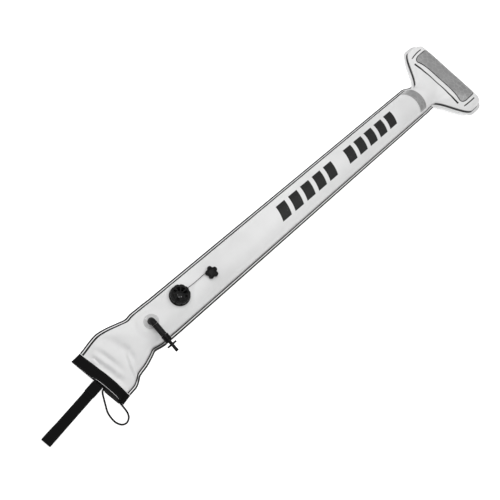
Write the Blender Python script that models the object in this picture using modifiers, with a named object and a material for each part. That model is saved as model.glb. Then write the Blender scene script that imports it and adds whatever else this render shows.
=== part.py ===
# Inflatable diver's marker buoy lying on a floor: a fabric tube with a T-shaped float head,
# a dump valve, an inflator, a bound mouth, a webbing strap and a cord loop.
# Metres, +Z up. Along the buoy, x is measured from the mouth's edge towards the head, and +Y is its left.

import math

import bmesh
import bpy
from mathutils import Vector
from mathutils.geometry import intersect_point_line

# Envelope
BUOY_LENGTH = 1.507        # mouth edge to the crest of the head
TUBE_WIDTH = 0.093         # between the side welds
TUBE_HEIGHT = 0.080
BELLY_PRESS = 0.002        # depth of round belly that the floor presses flat
FABRIC = 0.0008
FLANGE_WIDTH = 0.0093      # welded edge outside the seam
CLEAR = 0.0003             # gap between pieces that touch
SKIN_GAP = 0.00045         # gap under a skin that lies on the fabric's facets
BINDING = 0.0007           # wall of the folded edge binding
BINDING_SETBACK = 0.0014   # from the weld to the binding's inner edge

# Skirt and mouth
SKIRT_LENGTH = 0.200
WELD_FADE = 0.010          # past the skirt, to where the welds reach the tube's width
MOUTH_WIDTH = 0.156        # lay-flat, over the welded edges
MOUTH_GAPE = 0.012         # how far the upper lip stands off the lower one
LIP_BIAS = 0.75            # leans the gape towards the right
MOUTH_SKEW = math.radians(8.0)
MOUTH_OFFSET = -0.0116
# Welds of the skirt: share of its length, and of the way from the tube's width to the mouth's
LEFT_WELD = ((0.0, 1.0), (0.124, 1.07), (0.276, 1.29), (0.353, 1.33), (0.413, 1.20), (0.484, 0.94),
             (0.590, 0.46), (0.672, 0.13), (0.740, 0.16), (0.840, 0.08), (1.0, 0.0))
RIGHT_WELD = ((0.0, 1.0), (0.132, 0.80), (0.240, 0.72), (0.307, 0.44), (0.354, 0.19), (0.489, 0.04),
              (0.600, -0.22), (0.665, -0.40), (0.735, -0.21), (0.800, -0.07), (1.0, 0.0))
TAPE_WIDTH = 0.025
TAPE = 0.0010
TAPE_TO_BINDING = 0.002
FLAP_ROOT_X = 0.046
FLAP_LENGTH = 0.066
FLAP_WIDTH = 0.046
FLAP = 0.0006

# Neck, head and reflective pieces, from the crest backwards
LOBE_TO_CREST = 0.066
NECK_TO_LOBE = 0.105
BAND_TO_NECK = 0.0555      # from the middle of the band, over the joint of tube and head
BAND_WIDTH = 0.032
BAND_REACH = 0.90          # share of the half width that the band covers
REFLECTIVE = 0.0005
NECK_WIDTH = 0.0795
HEAD_WIDTH = 0.2875        # lobe to lobe, between the welds
HEAD_Y = -0.005            # middle of the head, off the tube's line
LOBE_STRAIGHT = 0.027
CREST_WIDTH = 0.248        # straight front of the head, between the welds
PANEL_LENGTH = 0.069
PANEL_SETBACK = 0.0207     # from the front weld

# Strap and cord loop
STRAP_WIDTH = 0.025
STRAP_LENGTH = 0.166       # past the mouth
STRAP_Y = -0.003           # from the middle of the mouth
STRAP = 0.0030             # two sewn layers
STRAP_EYE = 0.0065         # clear height of the eye at the end
EYE_STRAIGHT = 0.012
EYE_TAPER = 0.034
TAIL_LENGTH = 0.020
KEEPER_LENGTH = 0.028
KEEPER_WALL = 0.0012
KEEPER_SETBACK = 0.002
KEEPER_SLOPE = 0.014       # run over which the strap comes down to the floor
HINGE_GAP = 0.0006
LOOP_DIAMETER = 0.0036

# Dump valve, with heights above the fabric
VALVE_SPACING = 0.092      # from the inflator
VALVE_Y = 0.0062
VALVE_PAD_DROP = 0.0025    # flat seat below the top of the tube
PAD_MARGIN = 0.004
PAD_BLEND = 0.016
WELD_SHARE = 0.2           # share of the half width, next to the weld, that a pad doesn't flatten
THREAD_RADIUS = 0.018
THREAD_WALL = 0.0025
THREAD_HEIGHT = 0.009
RING_WIDTH = 0.008
RING_HEIGHT = 0.005
RING_CHAMFER = 0.00125
VALVE_FLANGE = 0.002
VALVE_FLANGE_WIDTH = 0.0068
GASKET = 0.001
SEAT_WALL = 0.002
SEAT_WIDTH = 0.006
SEAL = 0.001
POPPET = 0.002
POPPET_GAP = 0.0015        # between the poppet and the bore
VALVE_LIFT = 0.004
STEM_RADIUS = 0.0022
STEM_ENGAGE = 0.001        # length of stem in the hub when the valve is shut
CORD_POST_SETBACK = 0.005  # from the poppet's edge
CORD_POST_RADIUS = 0.001
CORD_POST_ROOM = 0.0003    # above the post when the valve is open
CAP_WALL = 0.0062          # outside the thread
CAP_SKIN = 0.0035          # outside the chamber
CAP_ROOM = 0.0047          # chamber above the thread
CAP_TOP = 0.003
CAP_SHOULDER = 0.0015      # edge rounding of the cap
HUB_WALL = 0.0015
HUB_DEPTH = 0.0045
SCALLOPS = 10
SCALLOP_RADIUS = 0.0035
SCALLOP_DEPTH = 0.0015
VENTS = 8
VENT_RIM = 0.0025          # between the vents and the cap's wall
HUB_RIM = 0.0035           # between the vents and the hub
SPOKE = 0.0022
CORD_PORT_RADIUS = 0.0016
CORD_PORT_DROP = 0.0055    # below the cap's top
SPRING_WIRE = 0.0008
VALVE_SPRING_GAP = 0.0012  # between the spring and the hub
VALVE_SPRING_TURNS = 4.5
PULL_CORD_DIAMETER = 0.0014
KNOB_X = 0.0993            # from the valve's axis
KNOB_Y = -0.008
KNOB_RADIUS = 0.0165
KNOB_LOBES = 5
KNOB_LOBE_DEPTH = 0.0042
KNOB_NOTCH = 4             # power that keeps the notches narrow
KNOB_TURN = math.radians(150.0)  # way that the lobe with the cord points
KNOB_HEIGHT = 0.009
KNOB_ROUND = 0.0018

# Inflator
INFLATOR_X = 0.171
INFLATOR_Y = 0.004
INFLATOR_PAD_DROP = 0.0008
INFLATOR_TILT = math.radians(9.0)
INFLATOR_TURN = math.radians(-1.7)   # of the elbow on its flange
INFLATOR_FLANGE_RADIUS = 0.018
INFLATOR_FLANGE = 0.002
BORE_RADIUS = 0.0045
ELBOW_WALL = 0.0031
BOSS_STEP = 0.0012         # from the elbow's outside to the boss's
BOSS_HEIGHT = 0.003
ELBOW_RISE = 0.0045        # straight part between the boss and the bend
ELBOW_BEND = 0.0105
ELBOW_TAIL = 0.002         # straight part after the bend
HOSE_DROOP = math.radians(9.0)
HOSE_WALL = 0.0030
HOSE_LENGTH = 0.0315
NOZZLE_RADIUS = 0.0040
NOZZLE_BORE = 0.0021
NOZZLE_LENGTH = 0.028      # past the collar
NOZZLE_TIP_ROUND = 0.002
SHOULDER_WIDTH = 0.0017
SHOULDER_GAP = 0.0005
SHOULDER = 0.002
COLLAR_WALL = 0.0029
COLLAR_LENGTH = 0.0195
COLLAR_REAR = 0.0025
COLLAR_GUIDE = 0.0055
COLLAR_CHAMFER = 0.001
STEM_END_RADIUS = 0.0018
STEM_HEAD = 0.0014
DISC_RADIUS = 0.0127
DISC = 0.0032
DISC_EDGE = 0.0007
DISC_SETBACK = 0.0065      # from the collar to the disc
NOZZLE_SEAL_GAP = 0.0006   # between the seal and the hose
NOZZLE_SEAL = 0.002
SEAL_ON_HEAD = 0.0008      # from the seal's edge to the stem's head
SEAL_ON_PORT = 0.0012      # from the seal's edge to the port
NOZZLE_SPRING_GAP = 0.0009
NOZZLE_SPRING_TURNS = 4.0
O_RING = 0.0006            # radius of its section

# Mesh density
ACROSS_STEPS = 14
SKIRT_STEP = 0.0092
NECK_STEP = 0.015
HEAD_STEP = 0.0145
TUBE_STEP = 0.32
OUTLINE_STEPS = 40
FLAP_STEPS = 6
TURN_STEPS = 24
CUTTER_STEPS = 12
COIL_STEPS = 9
AT_WELD = 0.9999           # share of the half width past which a point lies on the weld
RIM_ANGLE = math.radians(60.0)   # edges of the knob that are sharper than this are rounded

# Sizes that follow from the ones above
SEAM_Z = TUBE_HEIGHT / 2
HALF_WELD = FABRIC + CLEAR / 2
MOUTH_SEAM_Z = TAPE + CLEAR + HALF_WELD
SKIRT_END = SKIRT_LENGTH + WELD_FADE
LIP_RUN = SKIRT_LENGTH / 2
LOBE_X = BUOY_LENGTH - LOBE_TO_CREST
NECK_X = LOBE_X - NECK_TO_LOBE
BAND_X = NECK_X - BAND_TO_NECK
BAND_START = BAND_X - BAND_WIDTH / 2
NECK_START = BAND_X + BAND_WIDTH / 2
HEAD_FRONT = BUOY_LENGTH - FLANGE_WIDTH
PANEL_FRONT_X = HEAD_FRONT - PANEL_SETBACK
PANEL_BACK_X = PANEL_FRONT_X - PANEL_LENGTH
VALVE_X = INFLATOR_X + VALVE_SPACING
VALVE_Z = TUBE_HEIGHT - VALVE_PAD_DROP
VALVE_RADIUS = THREAD_RADIUS + RING_WIDTH
VALVE_BORE = THREAD_RADIUS - THREAD_WALL
PORT_RADIUS = VALVE_BORE - SEAT_WIDTH
POPPET_RADIUS = VALVE_BORE - POPPET_GAP
CAP_RADIUS = THREAD_RADIUS + CLEAR + CAP_WALL
CAP_INNER = CAP_RADIUS - CAP_SKIN
CAP_UNDER = THREAD_HEIGHT + CLEAR + CAP_ROOM
CAP_HEIGHT = CAP_UNDER + CAP_TOP
HUB_RADIUS = STEM_RADIUS + CLEAR + HUB_WALL
HUB_LOW = CAP_UNDER - HUB_DEPTH
CORD_POST_X = POPPET_RADIUS - CORD_POST_SETBACK
CORD_POST_TOP = CAP_UNDER - VALVE_LIFT - CORD_POST_ROOM
CORD_PORT_HEIGHT = CAP_HEIGHT - CORD_PORT_DROP
ELBOW_RADIUS = BORE_RADIUS + ELBOW_WALL
BOSS_RADIUS = ELBOW_RADIUS + BOSS_STEP
HOSE_RADIUS = BORE_RADIUS + HOSE_WALL
SHOULDER_RADIUS = NOZZLE_RADIUS + SHOULDER_WIDTH
CHAMBER_RADIUS = SHOULDER_RADIUS + SHOULDER_GAP
COLLAR_RADIUS = CHAMBER_RADIUS + COLLAR_WALL
NOZZLE_SEAL_RADIUS = BORE_RADIUS - NOZZLE_SEAL_GAP

for leftover in list(bpy.data.objects):
    bpy.data.objects.remove(leftover)

buoy = bpy.data.collections.new("marker_buoy")
cutters = bpy.data.collections.new("cutters")
bpy.context.scene.collection.children.link(buoy)
bpy.context.scene.collection.children.link(cutters)


# Helpers

def material(name, colour, roughness, metallic=0.0):
    finish = bpy.data.materials.new(name)
    finish.use_nodes = True
    shader = finish.node_tree.nodes["Principled BSDF"]
    shader.inputs["Base Color"].default_value = (*colour, 1.0)
    shader.inputs["Roughness"].default_value = roughness
    shader.inputs["Metallic"].default_value = metallic
    return finish


def empty(name, location, rotation=(0.0, 0.0, 0.0), parent=None):
    holder = bpy.data.objects.new(name, None)
    holder.location = location
    holder.rotation_euler = rotation
    holder.parent = parent
    buoy.objects.link(holder)
    return holder


def add(name, data, finish, parent, location=(0.0, 0.0, 0.0), rotation=(0.0, 0.0, 0.0)):
    piece = bpy.data.objects.new(name, data)
    piece.location = location
    piece.rotation_euler = rotation
    piece.parent = parent
    data.materials.append(finish)
    buoy.objects.link(piece)
    return piece


def add_cutter(name, data, parent, location=(0.0, 0.0, 0.0)):
    cutter = bpy.data.objects.new(name, data)
    cutter.location = location
    cutter.parent = parent
    cutter.hide_render = True
    cutter.display_type = "WIRE"
    cutters.objects.link(cutter)
    return cutter


def cut(piece, cutter, operation="DIFFERENCE"):
    boolean = piece.modifiers.new(cutter.name, "BOOLEAN")
    boolean.operation = operation
    boolean.object = cutter


def mesh_from(bm, name):
    data = bpy.data.meshes.new(name)
    bm.to_mesh(data)
    bm.free()
    return data


def smooth(data, angle=35.0):
    data.shade_smooth()
    data.set_sharp_from_angle(angle=math.radians(angle))


# A grid whose corners are moved to rows of points, then given its thickness along or against its normal
def sheet(name, rows, finish, thickness, grow, parent):
    long_steps = len(rows) - 1
    cross_steps = len(rows[0]) - 1
    bm = bmesh.new()
    bmesh.ops.create_grid(bm, x_segments=long_steps, y_segments=cross_steps, size=0.5)
    for vert in bm.verts:
        row = round((vert.co.x + 0.5) * long_steps)
        column = round((vert.co.y + 0.5) * cross_steps)
        vert.co = rows[row][column]
    data = mesh_from(bm, name)
    smooth(data)
    piece = add(name, data, finish, parent)
    solidify = piece.modifiers.new("thickness", "SOLIDIFY")
    solidify.thickness = thickness
    solidify.offset = grow
    solidify.use_even_offset = True
    return piece


# A profile of (radius, height) spun about local Z: down the outer side, then back up any bore
def turned(name, profile, finish, parent, closed=True, location=(0.0, 0.0, 0.0)):
    bm = bmesh.new()
    verts = [bm.verts.new((radius, 0.0, height)) for radius, height in profile]
    for first, second in zip(verts, verts[1:]):
        bm.edges.new((first, second))
    if closed:
        bm.edges.new((verts[-1], verts[0]))
    piece = add(name, mesh_from(bm, name), finish, parent, location)
    screw = piece.modifiers.new("turn", "SCREW")
    screw.axis = "Z"
    screw.steps = TURN_STEPS
    screw.render_steps = TURN_STEPS
    screw.use_merge_vertices = True
    screw.merge_threshold = 0.00001
    return piece


def ring(outer, inner, low, high):
    return [(outer, high), (outer, low), (inner, low), (inner, high)]


def tube(name, points, radius, finish, parent, resolution=2, widths=None):
    data = bpy.data.curves.new(name, "CURVE")
    data.dimensions = "3D"
    data.bevel_depth = radius
    data.bevel_resolution = resolution
    data.use_fill_caps = True
    spline = data.splines.new("POLY")
    spline.points.add(len(points) - 1)
    for index, point in enumerate(points):
        spline.points[index].co = (*point, 1.0)
        spline.points[index].radius = widths[index] / radius if widths else 1.0
    return add(name, data, finish, parent)


# The evaluated curve as a closed mesh, so that it can be cut
def as_mesh(curve_piece):
    graph = bpy.context.evaluated_depsgraph_get()
    data = bpy.data.meshes.new_from_object(curve_piece.evaluated_get(graph))
    bm = bmesh.new()
    bm.from_mesh(data)
    bmesh.ops.remove_doubles(bm, verts=bm.verts, dist=0.000001)
    bm.to_mesh(data)
    bm.free()
    name = curve_piece.name
    bpy.data.objects.remove(curve_piece)
    data.name = name
    return data


def flat_outline(name, outlines, half_thickness, finish, parent, location, rotation):
    data = bpy.data.curves.new(name, "CURVE")
    data.dimensions = "2D"
    data.fill_mode = "BOTH"
    data.extrude = half_thickness
    for outline in outlines:
        spline = data.splines.new("POLY")
        spline.points.add(len(outline) - 1)
        for index, (across, up) in enumerate(outline):
            spline.points[index].co = (across, up, 0.0, 1.0)
        spline.use_cyclic_u = True
    return add(name, data, finish, parent, location, rotation)


def arc(centre, radius, start, end, steps):
    angles = [math.radians(start + (end - start) * step / steps) for step in range(steps + 1)]
    return [(centre[0] + radius * math.cos(a), centre[1] + radius * math.sin(a)) for a in angles]


# Even points on a smooth curve through a route's own points
def smooth_route(route, spacing):
    knots = [Vector(point) for point in route]
    knots = [2 * knots[0] - knots[1], *knots, 2 * knots[-1] - knots[-2]]
    points = []
    for before, start, end, after in zip(knots, knots[1:], knots[2:], knots[3:]):
        steps = max(1, round((end - start).length / spacing))
        for step in range(steps):
            t = step / steps
            points.append(0.5 * (2 * start + (end - before) * t
                                 + (2 * before - 5 * start + 4 * end - after) * t ** 2
                                 + (3 * start - before - 3 * end + after) * t ** 3))
    points.append(knots[-2])
    return points


# A spring's wire between two heights, and its least gap between turns
def coil(name, radius, wire, low, high, turns, finish, parent):
    count = round(turns * COIL_STEPS)
    points = []
    for step in range(count + 1):
        angle = 2 * math.pi * step / COIL_STEPS
        height = low + (high - low) * step / count
        points.append((radius * math.cos(angle), radius * math.sin(angle), height))
    gap = (high - low) / turns - wire
    print(name, "gap between turns", round(gap * 1000, 2), "mm")
    return tube(name, points, wire / 2, finish, parent, resolution=1)


def ease(t):
    t = min(max(t, 0.0), 1.0)
    return t * t * (3.0 - 2.0 * t)


def mix(a, b, t):
    return a + (b - a) * t


# Shape of the envelope

def along_skirt(x):
    return ease(x / SKIRT_LENGTH)


def along_neck(x):
    return ease((x - NECK_START) / (NECK_X - NECK_START))


def seam_height(x):
    return mix(MOUTH_SEAM_Z, SEAM_Z, along_skirt(x))


# Value at t on a smooth line through the knots
def through(knots, t):
    for before, start, end, after in zip(knots[:1] + knots, knots, knots[1:], knots[2:] + knots[-1:]):
        if t <= end[0]:
            run = end[0] - start[0]
            u = (t - start[0]) / run
            leave = run * (end[1] - before[1]) / (end[0] - before[0])
            arrive = run * (after[1] - start[1]) / (after[0] - start[0])
            bend = u * (1.0 - u) * (leave * (1.0 - u) - arrive * u)
            return mix(start[1], end[1], ease(u)) + bend
    return knots[-1][1]


# Centre line to the weld, on the left (side 1) or the right (side -1)
def seam_half(x, side):
    if x < SKIRT_END:
        flare = through(LEFT_WELD if side > 0 else RIGHT_WELD, x / SKIRT_END)
        return mix(TUBE_WIDTH / 2, MOUTH_WIDTH / 2 - FLANGE_WIDTH, flare)
    if x < NECK_START:
        return TUBE_WIDTH / 2
    if x < NECK_X:
        return mix(TUBE_WIDTH / 2, NECK_WIDTH / 2, along_neck(x))
    if x < LOBE_X:
        return mix(NECK_WIDTH / 2, HEAD_WIDTH / 2, ease((x - NECK_X) / (LOBE_X - NECK_X)))
    corner = max(x - LOBE_X - LOBE_STRAIGHT, 0.0) / (HEAD_FRONT - LOBE_X - LOBE_STRAIGHT)
    return mix(CREST_WIDTH / 2, HEAD_WIDTH / 2, math.sqrt(max(1.0 - corner * corner, 0.0)))


def head_outline():
    line = []
    for step in range(OUTLINE_STEPS + 1):
        x = mix(NECK_START, HEAD_FRONT, step / OUTLINE_STEPS)
        line.append(Vector((x, seam_half(x, 1))))
    line.append(Vector((HEAD_FRONT, 0.0)))
    return line


OUTLINE = head_outline()


def seam_distance(x, across):
    here = Vector((x, abs(across)))
    nearest = []
    for start, end in zip(OUTLINE, OUTLINE[1:]):
        foot, share = intersect_point_line(here, start, end)
        foot = start.lerp(end, min(max(share, 0.0), 1.0))
        nearest.append((here - foot.to_2d()).length)
    return min(nearest)


# Height of the inflated fabric as a share of its full height, from 0 at the weld to 1 at the crown
def fullness(x, across, lean):
    half = seam_half(x, across)
    v = min(abs(across) / half, 1.0)
    if v > AT_WELD:
        return 0.0
    round_section = math.sqrt(1.0 - v * v)
    if x > NECK_START:
        depth = min(seam_distance(x, across) / (TUBE_WIDTH / 2), 1.0)
        pillow = math.sqrt(max(1.0 - (1.0 - depth) ** 2, 0.0))
        return mix(round_section, pillow, along_neck(x))
    signed = math.copysign(v, across)
    lips = (1.0 - v * v) * (1.0 - lean * signed)
    return mix(lips, round_section, ease(x / LIP_RUN))


def place(x, across, z):
    loose = 1.0 - along_skirt(x)
    turn = MOUTH_SKEW * loose
    y = MOUTH_OFFSET * loose + HEAD_Y * along_neck(x) + math.cos(turn) * across
    return Vector((x - math.sin(turn) * across, y, z))


# The fabric lies flat under the valve and the inflator, but stays as it is at the weld
def flattened(point, centre_x, centre_y, level, slope, radius, hold):
    away = math.hypot(point.x - centre_x, point.y - centre_y) - radius - PAD_MARGIN
    flat = level + slope * (point.x - centre_x)
    point.z = mix(point.z, flat, hold * (1.0 - ease(away / PAD_BLEND)))


# Height of the front panel's crown above its weld
def crown(x):
    return mix(MOUTH_GAPE, TUBE_HEIGHT - SEAM_Z - HALF_WELD, along_skirt(x))


INFLATOR_Z = seam_height(INFLATOR_X) + HALF_WELD + crown(INFLATOR_X) - INFLATOR_PAD_DROP


def front_point(x, across):
    tall = crown(x)
    point = place(x, across, seam_height(x) + HALF_WELD + tall * fullness(x, across, LIP_BIAS))
    hold = ease((1.0 - abs(across) / seam_half(x, across)) / WELD_SHARE)
    flattened(point, VALVE_X, VALVE_Y, VALVE_Z, 0.0, VALVE_RADIUS, hold)
    slope = math.tan(INFLATOR_TILT)
    flattened(point, INFLATOR_X, INFLATOR_Y, INFLATOR_Z, slope, INFLATOR_FLANGE_RADIUS, hold)
    return point


def back_point(x, across):
    deep = mix(0.0, SEAM_Z - HALF_WELD + BELLY_PRESS, along_skirt(x))
    floor = (TAPE + CLEAR) * (1.0 - ease(x / TAPE_WIDTH - 1.0))
    z = seam_height(x) - HALF_WELD - deep * fullness(x, across, 0.0)
    return place(x, across, max(z, floor))


def weld_to_weld(x, reach=1.0):
    values = [-math.cos(math.pi * step / ACROSS_STEPS) * reach for step in range(ACROSS_STEPS + 1)]
    return [v * seam_half(x, v) for v in values]


def panel_row(x, surface):
    left = seam_half(x, 1) + FLANGE_WIDTH
    right = seam_half(x, -1) + FLANGE_WIDTH
    row = [place(x, -right, surface(x, -seam_half(x, -1)).z)]
    row += [surface(x, across) for across in weld_to_weld(x)]
    row.append(place(x, left, surface(x, seam_half(x, 1)).z))
    return row


def stations(start, end, step):
    count = max(1, math.ceil((end - start) / step - 0.001))
    return [mix(start, end, index / count) for index in range(count)]


# Stations shared by the panels, bindings and tapes, so that their facets lie alike
PAD_END = VALVE_X + VALVE_RADIUS + PAD_MARGIN + PAD_BLEND
MOUTH_STATIONS = stations(0.0, TAPE_WIDTH, TAPE_WIDTH / 2)
LIP_STATIONS = stations(TAPE_WIDTH, FLAP_ROOT_X, SKIRT_STEP)
SKIRT_STATIONS = stations(FLAP_ROOT_X, SKIRT_END, SKIRT_STEP)
VALVE_STATIONS = stations(SKIRT_END, PAD_END, SKIRT_STEP)
TUBE_STATIONS = stations(PAD_END, BAND_START, TUBE_STEP)
JOINT_STATIONS = [BAND_START, BAND_X - CLEAR / 2]
NECK_STATIONS = stations(NECK_START, NECK_X, NECK_STEP)
PANEL_STATIONS = stations(PANEL_BACK_X, PANEL_FRONT_X, HEAD_STEP)
HEAD_STATIONS = [BAND_X + CLEAR / 2, *NECK_STATIONS, *stations(NECK_X, PANEL_BACK_X, HEAD_STEP),
                 *PANEL_STATIONS, *stations(PANEL_FRONT_X, HEAD_FRONT, HEAD_STEP), HEAD_FRONT]

fabric = material("coated_fabric", (0.80, 0.80, 0.80), 0.55)
edge_tape = material("edge_tape", (0.86, 0.86, 0.86), 0.6)
webbing = material("black_webbing", (0.02, 0.02, 0.02), 0.8)
reflective = material("reflective_grey", (0.38, 0.38, 0.38), 0.35)
film = material("clear_film", (0.75, 0.75, 0.75), 0.3)
plastic = material("black_plastic", (0.02, 0.02, 0.02), 0.4)
grey_plastic = material("grey_plastic", (0.35, 0.35, 0.35), 0.5)
rubber = material("black_rubber", (0.03, 0.03, 0.03), 0.7)
steel = material("spring_steel", (0.6, 0.6, 0.6), 0.3, 1.0)
cord_cover = material("black_cord", (0.03, 0.03, 0.03), 0.8)

root = empty("buoy", (-BUOY_LENGTH / 2, 0.0, 0.0))
mouth = empty("mouth", (0.0, MOUTH_OFFSET, 0.0), (0.0, 0.0, MOUTH_SKEW), root)
valve = empty("valve", (VALVE_X, VALVE_Y, VALVE_Z), parent=root)
inflator = empty("inflator", (INFLATOR_X, INFLATOR_Y, INFLATOR_Z), (0.0, -INFLATOR_TILT, 0.0), root)


# Envelope

def cylinder(radius, low, high, name):
    bm = bmesh.new()
    bmesh.ops.create_cone(bm, cap_ends=True, segments=TURN_STEPS, radius1=radius, radius2=radius,
                          depth=high - low)
    bmesh.ops.translate(bm, verts=bm.verts, vec=(0.0, 0.0, (high + low) / 2))
    return mesh_from(bm, name)


# The panels are joined where the baffle flaps are welded across them
def build_tube():
    lip_line = [*MOUTH_STATIONS, *LIP_STATIONS, FLAP_ROOT_X - CLEAR / 2]
    skirt_line = [FLAP_ROOT_X + CLEAR / 2, *SKIRT_STATIONS[1:]]
    front_line = [*skirt_line, *VALVE_STATIONS, *TUBE_STATIONS, *JOINT_STATIONS]
    back_line = [*skirt_line, SKIRT_END, *TUBE_STATIONS, *JOINT_STATIONS]
    sheet("mouth_front_panel", [panel_row(x, front_point) for x in lip_line], fabric, FABRIC, -1, root)
    sheet("mouth_back_panel", [panel_row(x, back_point) for x in lip_line], fabric, FABRIC, 1, root)
    front = sheet("tube_front_panel", [panel_row(x, front_point) for x in front_line], fabric,
                  FABRIC, -1, root)
    sheet("tube_back_panel", [panel_row(x, back_point) for x in back_line], fabric, FABRIC, 1, root)
    reach = PAD_MARGIN + FABRIC
    valve_hole = cylinder(THREAD_RADIUS + CLEAR, -reach, reach, "valve_hole")
    inflator_hole = cylinder(BORE_RADIUS, -reach, reach, "inflator_hole")
    cut(front, add_cutter("valve_hole", valve_hole, valve))
    cut(front, add_cutter("inflator_hole", inflator_hole, inflator))


def build_head():
    for name, surface, grow in (("head_front_panel", front_point, -1),
                                ("head_back_panel", back_point, 1)):
        rows = [panel_row(x, surface) for x in HEAD_STATIONS]
        crest = [Vector((BUOY_LENGTH, point.y, point.z)) for point in rows[-1]]
        sheet(name, [*rows, crest], fabric, FABRIC, grow, root)


# A grey panel laid on the head's own facets
def build_head_panel():
    columns = range(ACROSS_STEPS // 4 + 1, ACROSS_STEPS - ACROSS_STEPS // 4 + 2)
    lift = Vector((0.0, 0.0, SKIN_GAP))
    rows = []
    for x in [*PANEL_STATIONS, PANEL_FRONT_X]:
        row = panel_row(x, front_point)
        rows.append([row[column] + lift for column in columns])
    sheet("head_reflective_panel", rows, reflective, REFLECTIVE, 1, root)


def binding_row(x, side):
    inner = side * (seam_half(x, side) + BINDING_SETBACK)
    outer = side * (seam_half(x, side) + FLANGE_WIDTH + CLEAR)
    top = seam_height(x) + HALF_WELD + CLEAR
    bottom = seam_height(x) - HALF_WELD - CLEAR
    return [place(x, inner, top), place(x, outer, top), place(x, outer, bottom), place(x, inner, bottom)]


def build_bindings():
    line = [TAPE_WIDTH + TAPE_TO_BINDING, *LIP_STATIONS[1:], *SKIRT_STATIONS, SKIRT_END, *TUBE_STATIONS,
            BAND_START, *NECK_STATIONS, NECK_X]
    for name, side in (("left_edge_binding", 1), ("right_edge_binding", -1)):
        sheet(name, [binding_row(x, side) for x in line], edge_tape, BINDING, side, root)


# A reflective band on the joint of tube and head, and a weld strip inside it on the floor's side
def build_bands():
    for name, surface, offset, finish, thickness in (
            ("front_reflective_band", front_point, SKIN_GAP, reflective, REFLECTIVE),
            ("back_weld_strip", back_point, -FABRIC - SKIN_GAP, fabric, FABRIC)):
        rows = []
        for x in (BAND_START, NECK_START):
            row = []
            for across in weld_to_weld(x, BAND_REACH):
                point = surface(x, across)
                rise = (point.z - SEAM_Z) / SEAM_Z ** 2
                outward = Vector((0.0, across / (TUBE_WIDTH / 2) ** 2, rise))
                row.append(point + outward.normalized() * offset)
            rows.append(row)
        sheet(name, rows, finish, thickness, 1, root)


def build_mouth_tapes():
    line = [*MOUTH_STATIONS, TAPE_WIDTH]
    for name, surface, grow in (("front_mouth_tape", front_point, 1),
                                ("back_mouth_tape", back_point, -1)):
        lift = Vector((0.0, 0.0, grow * CLEAR))
        rows = [[point + lift for point in panel_row(x, surface)] for x in line]
        sheet(name, rows, webbing, TAPE, grow, root)


# Film flaps that hang from the two panels and meet in the middle
def build_flaps():
    for name, surface, side in (("front_baffle_flap", front_point, 1),
                                ("back_baffle_flap", back_point, -1)):
        rows = []
        for step in range(FLAP_STEPS + 1):
            share = step / FLAP_STEPS
            x = FLAP_ROOT_X + FLAP_LENGTH * share
            row = []
            for column in range(FLAP_STEPS + 1):
                across = mix(-FLAP_WIDTH / 2, FLAP_WIDTH / 2, column / FLAP_STEPS)
                held = surface(FLAP_ROOT_X, across).z - side * (FABRIC + 2 * CLEAR)
                meeting = seam_height(FLAP_ROOT_X + FLAP_LENGTH) + side * (FLAP + CLEAR)
                row.append(place(x, across, mix(held, meeting, ease(share))))
            rows.append(row)
        sheet(name, rows, film, FLAP, -side, root)


# Strap and cord loop, in the mouth's own frame: x inwards, y to the left

def build_strap():
    lip = MOUTH_SEAM_Z - CLEAR / 2
    bm = bmesh.new()
    bmesh.ops.create_cube(bm, size=1.0)
    bmesh.ops.scale(bm, verts=bm.verts, vec=(TAIL_LENGTH, STRAP_WIDTH, STRAP / 2))
    add("strap_tail", mesh_from(bm, "strap_tail"), webbing, mouth,
        (TAIL_LENGTH / 2 + CLEAR, STRAP_Y, lip + CLEAR + STRAP / 4))

    low = KEEPER_WALL + CLEAR
    keeper_end = -KEEPER_SETBACK - KEEPER_LENGTH - 2 * CLEAR
    floor_start = keeper_end - KEEPER_SLOPE
    layer = STRAP / 2
    eye_height = STRAP_EYE + STRAP
    eye_end = -STRAP_LENGTH + eye_height / 2
    eye_start = eye_end + EYE_STRAIGHT
    eye_tip = eye_start + EYE_TAPER
    bend = (eye_end, eye_height / 2)
    outer = [(-HINGE_GAP, low + STRAP), (keeper_end, low + STRAP), (floor_start, STRAP),
             (eye_tip, STRAP), (eye_start, eye_height), *arc(bend, eye_height / 2, 90.0, 270.0, 10),
             (floor_start, 0.0), (keeper_end, low), (-HINGE_GAP, low)]
    eye = [(eye_tip + CLEAR - layer, layer + CLEAR), (eye_start, eye_height - layer),
           *arc(bend, STRAP_EYE / 2, 90.0, 270.0, 8)]
    upright = (math.pi / 2, 0.0, 0.0)
    flat_outline("strap", [outer, eye], STRAP_WIDTH / 2, webbing, mouth, (0.0, STRAP_Y, 0.0), upright)

    inner_half = STRAP_WIDTH / 2 + CLEAR
    inner_top = low + STRAP + CLEAR
    outer_half = inner_half + KEEPER_WALL
    outside = [(-outer_half, 0.0), (outer_half, 0.0), (outer_half, inner_top + KEEPER_WALL),
               (-outer_half, inner_top + KEEPER_WALL)]
    inside = [(-inner_half, KEEPER_WALL), (inner_half, KEEPER_WALL), (inner_half, inner_top),
              (-inner_half, inner_top)]
    middle = -KEEPER_SETBACK - KEEPER_LENGTH / 2
    across_strap = (math.pi / 2, 0.0, math.pi / 2)
    flat_outline("strap_keeper", [outside, inside], KEEPER_LENGTH / 2, webbing, mouth,
                 (middle, STRAP_Y, 0.0), across_strap)


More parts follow.
